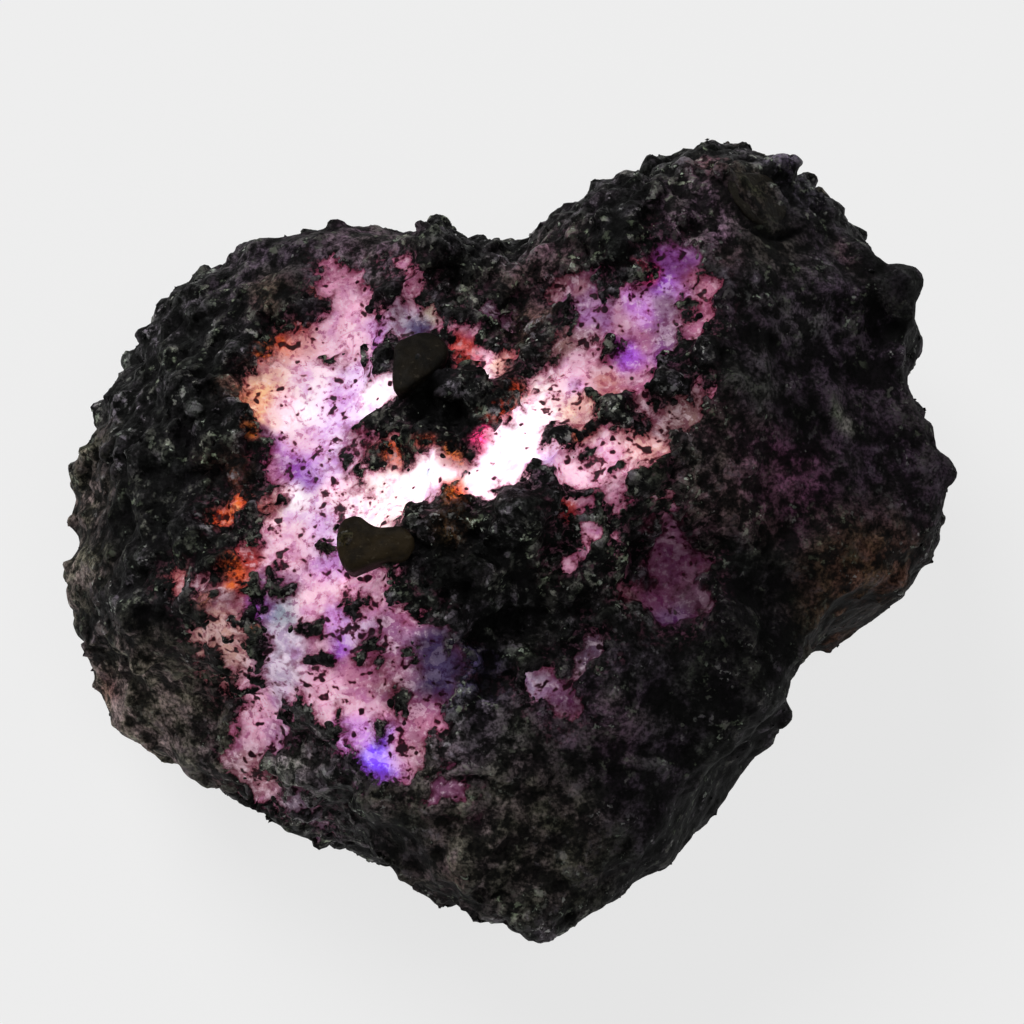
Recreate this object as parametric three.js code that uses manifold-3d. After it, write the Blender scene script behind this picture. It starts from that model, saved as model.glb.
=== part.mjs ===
// A rough sapphire as it comes from the ground: one heart-shaped lump of corundum in a dark rock crust.
// Millimetres, +Z up. The stone lies on a flat broken face at z = 0, with the origin at the middle of its
// footprint. +X runs along its longest side and +Y towards the notch between its two lobes.

import * as THREE from "three";
import { ImprovedNoise } from "three/addons/math/ImprovedNoise.js";
import { mergeVertices } from "three/addons/utils/BufferGeometryUtils.js";
import Module from "manifold-3d";

// Driving dimensions of the lump, before its faces and crust.
const WAIST_HEIGHT = 8.5; // height of the widest section
const CROWN_HEIGHT = 20; // height that the dome would reach with no broken faces
const KEEL_DEPTH = -3; // depth that it would reach with no rest face
const CROWN_FULLNESS = 0.62; // above the waist: 1 is an ellipsoid, less is squarer
const KEEL_FULLNESS = 0.5; // the same below the waist
const SURFACE_DETAIL = 11; // splits of each icosahedron edge for the lump
const EVENING_PASSES = 2; // how often its facets are evened out
const OUTLINE_STEPS = 720; // directions in which the outline's reach is worked out
const POINTS_PER_STEP = 4; // points of the outline's curve for each of them

// The widest section seen from above, anticlockwise from the right: two lobes, a notch and a blunt tip.
const OUTLINE = [
  [20.1, 0.6],
  [19.9, 4.2],
  [19.0, 7.8],
  [18.6, 11.0],
  [17.2, 14.6],
  [14.3, 17.2],
  [11.8, 19.2],
  [9.0, 19.0],
  [6.2, 16.8],
  [3.4, 15.2],
  [0.8, 12.6],
  [-2.4, 14.3],
  [-8.0, 14.2],
  [-12.1, 13.7],
  [-15.6, 10.6],
  [-18.3, 6.7],
  [-20.1, 2.0],
  [-20.0, -3.0],
  [-18.8, -7.2],
  [-14.0, -10.8],
  [-8.0, -13.6],
  [-3.2, -16.1],
  [0.4, -18.6],
  [3.4, -20.2],
  [5.4, -15.9],
  [9.7, -11.7],
  [12.9, -7.9],
  [12.8, -5.5],
  [13.8, -4.5],
  [18.0, -3.0],
  [19.8, -1.4],
];

// Broken faces that trim the lump: a point on each and the way that it looks.
const BROKEN_FACES = [
  { at: [-4, 3, 17.2], facing: [-0.16, 0.1, 1] }, // bright face across the left and middle
  { at: [14.5, 4, 15], facing: [0.55, -0.06, 1] }, // shoulder of the right lobe
  { at: [4, -11.5, 13.4], facing: [0.2, -0.5, 1] }, // slope down to the tip
  { at: [-16.4, 3, 12.8], facing: [-1, 0.05, 0.9] }, // left flank
  { at: [-13.6, -9.6, 10.2], facing: [-0.7, -1, 0.75] }, // lower left facet
  { at: [11, -11, 10], facing: [0.9, -0.8, 0.35] }, // lower right flank
  { at: [-8, 14, 11.6], facing: [-0.4, 1, 0.6] }, // back of the left lobe
  { at: [10, 18.5, 13.5], facing: [0.05, 1, 0.5] }, // back of the right lobe
  { at: [19.2, 6, 8], facing: [1, 0.25, -0.3] }, // right side, leaning out
  { at: [-17, -2, 2.5], facing: [-1, -0.1, -0.5] }, // left side below the rim
  { at: [3, -15.5, 2], facing: [0.15, -1, -0.4] }, // tip below the rim
  { at: [10, 16.5, 2.5], facing: [0.3, 1, -0.4] }, // back below the rim
  { at: [-13, -2, 1.5], facing: [-0.6, 0.2, -1] }, // bevel under the left lobe
  { at: [12, 3, 1.5], facing: [0.55, 0.25, -1] }, // bevel under the right lobe
  { at: [1, -10, 1.5], facing: [-0.1, -0.5, -1] }, // bevel under the tip
  { at: [2, 13.5, 2], facing: [-0.1, 0.6, -1] }, // bevel under the back
];
const EDGE_ROUNDING = 0.4; // how far the edge between two faces is worn down
const CLEAR_OF_EDGE = 40; // roundings past a face, beyond which its edge is no longer felt

// Grooves where the lobes meet: points along each, its half width and its depth.
const GROOVES = [
  { along: [[15, -5.5], [9, -3.5], [4, -4.5], [0, -7]], width: 2.1, depth: 1.1 },
  { along: [[1.2, 10], [0.4, 6]], width: 2.2, depth: 1.2 },
  { along: [[-20, -6.5], [-15, -7.6], [-12.2, -9.4], [-11.2, -12.5]], width: 1.1, depth: 0.9 },
];

// Windows, where the crust is gone and bare sapphire shows: centre, half length, half width and turn.
const WINDOWS = [
  { at: [-8.2, 4.8], size: [4.6, 2.2], turn: 75 }, // left
  { at: [-4.0, -0.2], size: [4.2, 1.1], turn: 3 }, // middle, below the clump of knobs
  { at: [0.9, 2.1], size: [3.2, 1.0], turn: 55 }, // middle, right of the clump
  { at: [5.8, 6.0], size: [5.0, 2.2], turn: 50 }, // right lobe
  { at: [-8.8, -3.6], size: [4.4, 1.8], turn: 95 }, // lower left
  { at: [-5.6, -8.7], size: [4.6, 2.4], turn: 130 }, // towards the tip
  { at: [-10.3, -10.4], size: [2.6, 1.1], turn: 105 },
  { at: [7.0, -4.0], size: [2.4, 1.4], turn: 110 },
  { at: [12.4, -0.2], size: [2.6, 1.8], turn: 160 },
];
const CRUST_DEPTH = 0.7; // how far a window lies below the crust around it
const WINDOW_RIM = 0.25; // share of a window's size over which the crust thins out
const WINDOW_EVENNESS = 0.5; // share of the roughness that a window loses
const TOP_FACING = [0.2, 0.7]; // rise of a normal where windows and grooves begin, and where they are full

// Lumps and pits all over: how far apart they are and how high they stand.
const ROUGHNESS = [
  { spacing: 5.2, height: 0.9 },
  { spacing: 2.6, height: 0.9 },
];
const NOISE_START = new THREE.Vector3(7.3, 2.1, 4.7); // the place in the noise where the stone's middle lies

// Knobs of rock stuck to the top: place, radius, width and height as shares of the radius, and turn.
const KNOBS = [
  // The clump in the middle, and the smooth plate that stands up at its left.
  { at: [-5.4, 5.5], r: 1.15, tall: 0.9 },
  { at: [-1.6, 3.8], r: 1.7, tall: 1.1 },
  { at: [-0.2, 3.0], r: 1.3, tall: 1.0 },
  { at: [-2.8, 1.6], r: 1.4, tall: 0.9 },
  { at: [-4.7, 1.9], r: 1.0, tall: 0.8 },
  { at: [-0.3, 5.9], r: 1.0, tall: 0.8 },
  { at: [1.3, 6.4], r: 0.9, tall: 0.8 },
  { at: [-3.5, 5.0], r: 1.35, wide: 0.75, tall: 1.2, turn: 80 },
  // The larger clump below it.
  { at: [-6.5, -3.2], r: 1.05, tall: 0.8 },
  { at: [-4.7, -3.6], r: 1.35, wide: 0.8, tall: 0.7, turn: -10 },
  { at: [-3.3, -2.1], r: 1.0, tall: 0.9 },
  { at: [-2.1, -2.4], r: 1.05, tall: 0.9 },
  { at: [0.7, -1.9], r: 1.6, tall: 1.1 },
  { at: [2.3, -1.3], r: 0.85, tall: 0.9 },
  { at: [-0.7, -4.5], r: 1.7, tall: 0.8 },
  { at: [2.4, -4.4], r: 1.4, tall: 0.8 },
  { at: [4.2, -5.8], r: 1.1, tall: 0.7 },
  { at: [0.9, -7.5], r: 1.2, tall: 0.8 },
  { at: [-1.2, -7.3], r: 0.9, tall: 0.8 },
  // Along the right lobe's window.
  { at: [4.9, 10.7], r: 2.0, wide: 0.65, tall: 0.6, turn: 10 },
  { at: [5.2, 8.4], r: 0.9, tall: 0.9 },
  { at: [7.3, 4.0], r: 1.05, tall: 0.9 },
  { at: [8.7, 5.6], r: 1.05, tall: 0.9 },
  { at: [4.8, 2.3], r: 1.2, tall: 0.9 },
  { at: [2.5, 1.3], r: 0.65, tall: 1.0 },
  // Along the back edge.
  { at: [-5.0, 8.9], r: 0.95, tall: 0.9 },
  { at: [-2.9, 10.9], r: 1.4, tall: 0.9 },
  { at: [-1.5, 9.7], r: 1.1, tall: 0.8 },
  { at: [-0.4, 10.3], r: 1.0, tall: 0.8 },
  { at: [-7.6, 11.0], r: 0.9, tall: 0.7 },
  // The thick crust on the left.
  { at: [-11.7, 3.7], r: 1.05, tall: 0.9 },
  { at: [-11.4, 6.4], r: 0.95, tall: 0.8 },
  { at: [-9.6, 8.6], r: 1.0, tall: 0.7 },
  { at: [-13.7, 9.4], r: 1.1, tall: 0.7 },
  { at: [-14.2, 5.0], r: 1.3, tall: 0.7 },
  { at: [-15.2, 2.2], r: 1.2, tall: 0.7 },
  { at: [-11.3, -0.8], r: 1.0, tall: 0.9 },
  { at: [-13.8, -1.8], r: 1.2, tall: 0.7 },
  { at: [-16.2, -2.6], r: 1.2, tall: 0.7 },
  { at: [-16.3, -5.6], r: 1.7, tall: 0.6 },
  { at: [-11.2, -6.7], r: 0.95, tall: 0.9 },
  // Round the tip.
  { at: [-8.7, -10.9], r: 1.8, wide: 0.8, tall: 0.6, turn: -40 },
  { at: [-4.3, -9.7], r: 0.65, tall: 0.9 },
  { at: [-5.3, -10.9], r: 0.45, tall: 1.0 },
  { at: [-3.8, -15.6], r: 1.0, tall: 0.9 },
  // The right lobe: an outcrop on its edge, a smooth plate and lumps round its peak, and a low mound.
  { at: [17.4, 10.0], r: 1.9, tall: 1.0 },
  { at: [17.6, 7.4], r: 1.4, tall: 0.9 },
  { at: [16.2, 11.6], r: 1.2, tall: 0.8 },
  { at: [11.0, 13.2], r: 1.8, wide: 0.65, tall: 0.45, turn: -35 },
  { at: [8.2, 14.8], r: 1.1, tall: 0.9 },
  { at: [12.2, 15.6], r: 0.9, tall: 0.8 },
  { at: [13.9, 12.8], r: 1.0, tall: 0.8 },
  { at: [11.8, 9.9], r: 2.2, wide: 0.8, tall: 0.4, turn: 20 },
];

// Crumbs of crust over the rest of the stone: how many are tried for, and their least and greatest radius.
const CRUMBS = { count: 70, smallest: 0.8, largest: 1.5, tall: 0.7 };
const CRUMB_SEED = 21;

const FINE_PEBBLE = 1.15; // a pebble smaller than this has fewer facets
const PEBBLE_JITTER = 0.6; // how far a pebble is from round
const PEBBLE_DENTS = 1.7; // how many dents lie along a pebble's radius
const PEBBLE_SINK = 0.3; // how far its middle lies below the surface, as a share of its radius
const FAR_OUTSIDE = 60; // a distance well clear of the stone
const SAME_PLACE = 1e-5; // points closer than this are one

const noise = new ImprovedNoise();
const DEGREE = Math.PI / 180;
const GOLDEN_ANGLE = Math.PI * (3 - Math.sqrt(5));

const vector = (list) => new THREE.Vector3(...list);
const smoothstep = THREE.MathUtils.smoothstep;

// Random numbers from 0 to 1, the same ones each time for the same seed (Lehmer's generator).
function seededRandom(seed) {
  const MULTIPLIER = 16807;
  const MODULUS = 2147483647;
  let state = seed;
  return () => {
    state = (state * MULTIPLIER) % MODULUS;
    return state / MODULUS;
  };
}

// A function that gives the outline's distance from the origin in any direction.
function outlineReach() {
  const curve = new THREE.CatmullRomCurve3(
    OUTLINE.map(([x, y]) => new THREE.Vector3(x, y, 0)),
    true,
    "centripetal",
  );
  const reach = new Array(OUTLINE_STEPS).fill(0);
  for (const p of curve.getSpacedPoints(POINTS_PER_STEP * OUTLINE_STEPS)) {
    const turns = Math.atan2(p.y, p.x) / (2 * Math.PI) + 1;
    const step = Math.round(turns * OUTLINE_STEPS) % OUTLINE_STEPS;
    reach[step] = Math.max(reach[step], Math.hypot(p.x, p.y));
  }
  return (angle) => {
    const place = (angle / (2 * Math.PI) + 1) * OUTLINE_STEPS;
    const low = Math.floor(place);
    const next = (low + 1) % OUTLINE_STEPS;
    return THREE.MathUtils.lerp(reach[low % OUTLINE_STEPS], reach[next], place - low);
  };
}

// Where a direction from the lump's middle meets the lump before it was broken.
function domePoint(direction, reachAt) {
  const level = Math.hypot(direction.x, direction.y);
  const fullness = direction.z > 0 ? CROWN_FULLNESS : KEEL_FULLNESS;
  const reach = reachAt(Math.atan2(direction.y, direction.x)) * Math.pow(level, fullness);
  const along = level > SAME_PLACE ? reach / level : 0;
  const limit = direction.z > 0 ? CROWN_HEIGHT - WAIST_HEIGHT : WAIST_HEIGHT - KEEL_DEPTH;
  return new THREE.Vector3(direction.x * along, direction.y * along, WAIST_HEIGHT + direction.z * limit);
}

// Presses a point back onto each broken face that it stands out from.
function breakOff(point) {
  for (const face of BROKEN_FACES) {
    const normal = vector(face.facing).normalize();
    const proud = normal.dot(point) - normal.dot(vector(face.at));
    const roundings = Math.min(proud / EDGE_ROUNDING, CLEAR_OF_EDGE);
    const cut = EDGE_ROUNDING * Math.log1p(Math.exp(roundings));
    point.addScaledVector(normal, -cut);
  }
  return point;
}

// How far a place seen from above lies inside a window: 0 on the crust, 1 on bare sapphire.
function bareness(x, y) {
  let most = 0;
  for (const { at, size, turn } of WINDOWS) {
    const [dx, dy] = [x - at[0], y - at[1]];
    const [c, s] = [Math.cos(turn * DEGREE), Math.sin(turn * DEGREE)];
    const away = Math.hypot((dx * c + dy * s) / size[0], (dy * c - dx * s) / size[1]);
    most = Math.max(most, 1 - smoothstep(away, 1 - WINDOW_RIM, 1 + WINDOW_RIM));
  }
  return most;
}

// How deep the grooves are at a place seen from above.
function grooveDepth(x, y) {
  let deepest = 0;
  for (const { along, width, depth } of GROOVES) {
    for (let i = 1; i < along.length; i++) {
      const a = new THREE.Vector2(...along[i - 1]);
      const b = new THREE.Vector2(...along[i]);
      const step = b.clone().sub(a);
      const t = THREE.MathUtils.clamp(new THREE.Vector2(x, y).sub(a).dot(step) / step.lengthSq(), 0, 1);
      const away = a.addScaledVector(step, t).distanceTo(new THREE.Vector2(x, y));
      deepest = Math.max(deepest, depth * Math.exp(-((away / width) ** 2)));
    }
  }
  return deepest;
}

// How far the surface stands out from the broken lump at a point with this normal.
function relief(point, normal) {
  const { x, y } = point;
  let lumps = 0;
  for (const { spacing, height } of ROUGHNESS) {
    const place = point.clone().divideScalar(spacing).add(NOISE_START);
    lumps += height * noise.noise(place.x, place.y, place.z);
  }
  const upward = smoothstep(normal.z, ...TOP_FACING);
  const bare = bareness(x, y) * upward;
  return lumps * (1 - WINDOW_EVENNESS * bare) - CRUST_DEPTH * bare - grooveDepth(x, y) * upward;
}

// Moves each vertex halfway to the middle of its neighbours, a number of times, so that no facet folds over.
function even(geometry, times) {
  const position = geometry.getAttribute("position");
  const corners = geometry.index.array;
  for (let pass = 0; pass < times; pass++) {
    const sums = Array.from({ length: position.count }, () => new THREE.Vector3());
    const counts = new Array(position.count).fill(0);
    for (let i = 0; i < corners.length; i += 3) {
      for (let side = 0; side < 3; side++) {
        const here = corners[i + side];
        const there = corners[i + ((side + 1) % 3)];
        sums[here].add(new THREE.Vector3().fromBufferAttribute(position, there));
        counts[here] += 1;
      }
    }
    for (let i = 0; i < position.count; i++) {
      const middle = sums[i].divideScalar(counts[i]);
      position.setXYZ(i, ...middle.lerp(new THREE.Vector3().fromBufferAttribute(position, i), 0.5));
    }
  }
}

// The lump with its faces, grooves, windows and roughness.
function lumpGeometry() {
  const sphere = new THREE.IcosahedronGeometry(1, SURFACE_DETAIL);
  sphere.deleteAttribute("normal");
  sphere.deleteAttribute("uv");
  const geometry = mergeVertices(sphere, SAME_PLACE);
  const position = geometry.getAttribute("position");
  const reachAt = outlineReach();
  const point = new THREE.Vector3();
  for (let i = 0; i < position.count; i++) {
    const broken = breakOff(domePoint(point.fromBufferAttribute(position, i), reachAt));
    position.setXYZ(i, ...broken);
  }
  even(geometry, EVENING_PASSES);
  geometry.computeVertexNormals();
  const normals = geometry.getAttribute("normal");
  const normal = new THREE.Vector3();
  for (let i = 0; i < position.count; i++) {
    point.fromBufferAttribute(position, i);
    normal.fromBufferAttribute(normals, i);
    position.setXYZ(i, ...point.addScaledVector(normal, relief(point, normal)));
  }
  geometry.deleteAttribute("normal");
  return geometry;
}

// An angular pebble, pushed into the surface where a ray meets it and turned to stand on it there.
function pebbleGeometry({ r, wide = 1, tall, turn = 0 }, hit) {
  const pebble = new THREE.IcosahedronGeometry(1, r < FINE_PEBBLE ? 0 : 1);
  pebble.deleteAttribute("normal");
  pebble.deleteAttribute("uv");
  const geometry = mergeVertices(pebble, SAME_PLACE);
  const position = geometry.getAttribute("position");
  const point = new THREE.Vector3();
  for (let i = 0; i < position.count; i++) {
    point.fromBufferAttribute(position, i);
    const place = point.clone().multiplyScalar(PEBBLE_DENTS).add(hit.point);
    const dent = noise.noise(place.x, place.y, place.z);
    position.setXYZ(i, ...point.multiplyScalar(r * (1 + PEBBLE_JITTER * dent)));
  }
  geometry.scale(1, wide, tall).rotateZ(turn * DEGREE).translate(0, 0, -PEBBLE_SINK * r);
  const stand = new THREE.Quaternion().setFromUnitVectors(new THREE.Vector3(0, 0, 1), hit.face.normal);
  return geometry.applyQuaternion(stand).translate(...hit.point);
}

// The knobs that have places of their own, seen from above.
function* knobs(surface) {
  for (const knob of KNOBS) {
    const from = new THREE.Vector3(...knob.at, FAR_OUTSIDE);
    const [hit] = new THREE.Raycaster(from, new THREE.Vector3(0, 0, -1)).intersectObject(surface);
    yield pebbleGeometry(knob, hit);
  }
}

// Evenly spread crumbs of random size, none in a window and none under the rest face.
function* crumbs(surface) {
  const random = seededRandom(CRUMB_SEED);
  const middle = new THREE.Vector3(0, 0, WAIST_HEIGHT);
  for (let i = 0; i < CRUMBS.count; i++) {
    const z = 1 - (2 * (i + 0.5)) / CRUMBS.count;
    const around = i * GOLDEN_ANGLE + random();
    const level = Math.sqrt(1 - z * z);
    const outward = new THREE.Vector3(level * Math.cos(around), level * Math.sin(around), z);
    const from = middle.clone().addScaledVector(outward, FAR_OUTSIDE);
    const [hit] = new THREE.Raycaster(from, outward.clone().negate()).intersectObject(surface);
    const r = THREE.MathUtils.lerp(CRUMBS.smallest, CRUMBS.largest, random());
    if (hit.point.z < r || (z > 0 && bareness(hit.point.x, hit.point.y) > 0)) continue;
    yield pebbleGeometry({ r, tall: CRUMBS.tall }, hit);
  }
}

const wasm = await Module();
wasm.setup();

const solidOf = (geometry) =>
  new wasm.Manifold(
    new wasm.Mesh({
      numProp: 3,
      vertProperties: geometry.getAttribute("position").array,
      triVerts: new Uint32Array(geometry.index.array),
    }),
  );

// Everything below the rest face, as a block to cut away.
function belowRestFace() {
  const side = 2 * FAR_OUTSIDE;
  const block = new THREE.BoxGeometry(side, side, FAR_OUTSIDE).translate(0, 0, -FAR_OUTSIDE / 2);
  block.deleteAttribute("normal");
  block.deleteAttribute("uv");
  return mergeVertices(block);
}

function stoneGeometry() {
  const lump = lumpGeometry();
  const surface = new THREE.Mesh(lump);
  let solid = solidOf(lump);
  for (const pebble of [...knobs(surface), ...crumbs(surface)]) solid = solid.add(solidOf(pebble));
  solid = solid.subtract(solidOf(belowRestFace()));
  const mesh = solid.getMesh();
  const geometry = new THREE.BufferGeometry();
  geometry.setAttribute("position", new THREE.BufferAttribute(mesh.vertProperties, 3));
  geometry.setIndex(new THREE.BufferAttribute(mesh.triVerts, 1));
  geometry.computeBoundingBox();
  const middle = geometry.boundingBox.getCenter(new THREE.Vector3());
  geometry.translate(-middle.x, -middle.y, 0);
  geometry.computeVertexNormals();
  return geometry;
}

const CRUST = new THREE.MeshStandardMaterial({ color: 0x2a2729, roughness: 0.8, flatShading: true });

const stone = new THREE.Mesh(stoneGeometry(), CRUST);
stone.name = "rough_sapphire";

const part = new THREE.Group();
part.add(stone);

export default part;
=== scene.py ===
import math

import bmesh
import bpy
import numpy as np
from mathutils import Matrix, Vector, noise
from mathutils.bvhtree import BVHTree


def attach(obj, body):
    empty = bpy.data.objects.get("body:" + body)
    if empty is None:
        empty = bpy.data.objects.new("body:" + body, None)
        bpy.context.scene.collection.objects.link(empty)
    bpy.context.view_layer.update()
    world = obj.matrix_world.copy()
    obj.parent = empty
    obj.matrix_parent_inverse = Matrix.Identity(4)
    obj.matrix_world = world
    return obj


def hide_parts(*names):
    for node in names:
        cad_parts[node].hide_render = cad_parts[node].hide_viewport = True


# Looks of the rough sapphire: a dark knobbly crust, torn open over glowing pink and violet crystal.
# Places and sizes are in millimetres in the stone's own frame (see part.mjs); meshes end up in metres.

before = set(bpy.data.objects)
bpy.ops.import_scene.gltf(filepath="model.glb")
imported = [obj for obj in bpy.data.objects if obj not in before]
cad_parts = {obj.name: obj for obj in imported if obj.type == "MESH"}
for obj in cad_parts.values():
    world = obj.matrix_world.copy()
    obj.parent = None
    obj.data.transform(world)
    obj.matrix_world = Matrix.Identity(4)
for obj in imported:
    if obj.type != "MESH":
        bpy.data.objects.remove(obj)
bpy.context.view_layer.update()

NODE = "rough_sapphire"
MM = 0.001
VOXEL = 0.225  # spacing of the stone's vertices
KNOBS = 900  # knobs of crust added to those of the CAD stone
KNOB_LEAST = 0.45  # their least and greatest radius
KNOB_MOST = 1.05
CUTS = 9  # flat sides of an angular grain
BLUNT = 0.86  # how far its corners reach, as a share of its radius
SEED = 20
THORN = 0.26  # what stands out further than this is taken off

# Light, as radiance: a white surface that sends out 1 is pure white in the render. The crystal's glow is painted: the
# crystal gives out light of its own.
BACKLIGHT = 0.50  # light that comes through the crystal everywhere
FLOOR_GLOW = 0.75  # the floor is a pale light table
WORLD_LIGHT = 0.06

# ---------------------------------------------------------------- colours, linear
WHITE = (0.98, 0.86, 0.92)
WARM_WHITE = (1.0, 0.82, 0.78)
LILAC_WHITE = (0.80, 0.60, 0.88)
PINK_WHITE = (0.88, 0.54, 0.66)
PALE_PINK = (0.62, 0.31, 0.43)
PINK = (0.42, 0.15, 0.25)
SALMON = (0.55, 0.22, 0.20)
PEACH = (0.80, 0.50, 0.38)
PALE_ORANGE = (0.95, 0.50, 0.22)
ORANGE = (0.80, 0.16, 0.02)
RED = (0.32, 0.025, 0.015)
VERMILION = (0.50, 0.05, 0.03)
HOT_PINK = (0.85, 0.10, 0.30)
MAGENTA = (0.30, 0.05, 0.16)
LILAC = (0.55, 0.24, 0.62)
MAUVE = (0.24, 0.12, 0.22)
VIOLET = (0.32, 0.08, 0.52)
BLUE_VIOLET = (0.14, 0.04, 0.82)
MAGENTA_VIOLET = (0.22, 0.05, 0.26)
ROSE = (0.46, 0.17, 0.26)
DIM_VIOLET = (0.055, 0.04, 0.12)
DIM_MAGENTA = (0.09, 0.025, 0.06)
DIM_PINK = (0.22, 0.10, 0.12)
GREY_LILAC = (0.46, 0.38, 0.49)
GREY_TEAL = (0.22, 0.28, 0.32)
TEAL = (0.25, 0.62, 0.75)
BROWN_PINK = (0.20, 0.11, 0.10)
CREAM = (0.45, 0.36, 0.28)
DIM_MAUVE = (0.10, 0.07, 0.10)
HAZE = (0.050, 0.020, 0.034)  # dim crystal between the grains beside a window

# ---------------------------------------------------------------- windows
# Each window of bare crystal is a chain of discs: x, y and radius of each.
WINDOWS = [
    # left
    [(-7.7, 10.4, 0.5), (-7.3, 9.5, 0.95), (-6.9, 8.4, 1.3), (-7.2, 7.2, 1.5), (-8.2, 6.0, 2.1),
     (-8.8, 4.8, 2.4), (-8.5, 3.6, 2.3), (-8.4, 2.2, 1.9), (-8.9, 1.0, 1.3), (-8.7, -0.4, 1.1)],
    [(-5.6, 7.5, 0.35), (-4.7, 7.9, 0.75), (-3.9, 7.5, 0.75), (-3.4, 7.9, 0.35)],
    [(-4.6, 8.6, 0.35), (-3.9, 9.3, 0.2), (-4.9, 10.3, 0.15)],
    [(-6.6, 2.5, 0.55), (-5.6, 2.2, 0.35), (-5.0, 1.5, 0.4), (-4.8, 0.8, 0.45)],
    # the bright band below and right of the clump of knobs
    [(-7.8, -0.2, 1.2), (-6.0, -0.9, 1.5), (-4.6, -0.5, 1.2), (-3.2, 0.1, 0.75), (-2.0, 0.25, 0.55),
     (-1.0, -0.1, 0.95), (0.1, 0.6, 1.15), (1.0, 1.6, 1.15), (1.75, 2.8, 1.05), (2.2, 4.1, 0.85)],
    # down the left side towards the tip
    [(-8.7, -0.6, 1.0), (-8.8, -2.0, 1.5), (-8.7, -3.4, 1.65), (-8.4, -4.8, 1.9), (-8.2, -6.2, 1.9),
     (-7.0, -7.4, 2.2), (-5.8, -8.8, 2.5), (-4.9, -10.0, 2.0), (-4.9, -11.0, 1.5), (-5.2, -11.4, 1.1)],
    [(-6.7, -5.0, 1.2), (-5.4, -5.4, 1.1), (-4.4, -6.5, 1.1), (-3.0, -8.1, 1.1)],
    [(-9.7, -8.4, 0.8), (-10.7, -9.4, 1.1), (-11.3, -10.3, 0.95), (-11.2, -11.4, 0.8), (-10.9, -12.4, 0.45)],
    [(-12.5, -6.6, 0.85), (-11.9, -7.2, 0.8), (-10.9, -7.9, 0.45)],
    [(-13.2, -4.8, 0.35), (-12.3, -4.6, 0.4), (-11.5, -4.2, 0.55), (-10.9, -3.1, 0.4)],
    [(-12.6, -6.1, 0.3), (-11.9, -5.3, 0.35), (-10.9, -5.2, 0.35)],
    [(-14.3, -3.9, 0.15)],
    [(-12.2, -1.1, 0.2), (-11.6, -0.95, 0.27), (-11.3, -0.3, 0.16)],
    [(-10.2, -0.9, 0.2)],
    # the small one beside the smooth plate
    [(-1.9, 7.05, 0.36), (-1.35, 7.15, 0.36)],
    [(-1.7, 6.9, 0.40), (-1.6, 6.3, 0.42)],
    [(-1.35, 6.5, 0.36), (-0.85, 5.9, 0.45), (-0.4, 5.55, 0.36), (0.05, 6.2, 0.2)],
    [(-0.8, 5.8, 0.42), (-0.95, 5.1, 0.3)],
    # right lobe
    [(1.9, 4.5, 0.8), (3.2, 5.3, 1.1), (4.4, 5.2, 1.2), (5.6, 5.6, 1.3), (6.2, 6.8, 1.25), (6.9, 8.0, 1.2),
     (7.4, 9.3, 1.1)],
    [(5.0, 7.2, 0.7), (6.2, 7.4, 0.9)],
    [(7.2, 10.2, 0.5), (7.4, 9.3, 0.9), (8.1, 8.4, 1.0), (8.2, 7.4, 0.7)],
    [(5.9, 7.9, 0.7), (6.4, 7.6, 0.6)],
    [(3.4, 6.2, 0.85), (3.8, 7.5, 0.7), (3.5, 8.6, 0.65), (2.4, 9.2, 0.5)],
    [(2.4, 6.2, 0.6)],
    [(2.7, 3.4, 0.95), (3.1, 2.3, 0.45), (3.15, 1.4, 0.32)],
    [(2.0, 0.6, 0.45), (3.2, 0.7, 1.1), (4.3, 0.3, 1.35), (5.4, 0.9, 1.0), (6.4, 1.5, 0.75)],
    [(4.0, -0.6, 0.65), (3.8, -1.3, 0.35), (2.6, -1.8, 0.22)],
    [(4.9, -0.9, 0.4)],
    [(6.1, 4.3, 0.4), (6.4, 3.0, 0.6), (6.6, 1.7, 0.5)],
    [(6.6, 2.4, 0.5), (7.8, 2.8, 0.55), (8.3, 3.7, 0.35)],
    [(6.7, -1.0, 0.25)],
    [(-0.2, 8.1, 0.4), (-1.0, 8.3, 0.3)],
    [(3.7, -2.8, 0.36), (3.3, -3.2, 0.15)],
    [(2.7, -3.6, 0.14)],
    [(4.7, -2.9, 0.28)],
    [(7.2, -1.9, 0.4), (7.3, -2.9, 0.9), (8.2, -3.1, 0.6)],
    [(5.6, -4.5, 0.4), (6.6, -4.5, 0.75), (7.1, -5.1, 0.7), (8.0, -4.6, 0.6)],
    [(1.4, -8.7, 0.5), (2.2, -8.5, 0.6), (2.5, -9.5, 0.5)],
    [(3.6, -7.1, 0.45), (3.1, -7.8, 0.3)],
    [(-9.4, -13.0, 0.55), (-8.4, -13.5, 0.45)],
    [(-2.7, -12.5, 0.6), (-2.0, -12.7, 0.3)],
]
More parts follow.
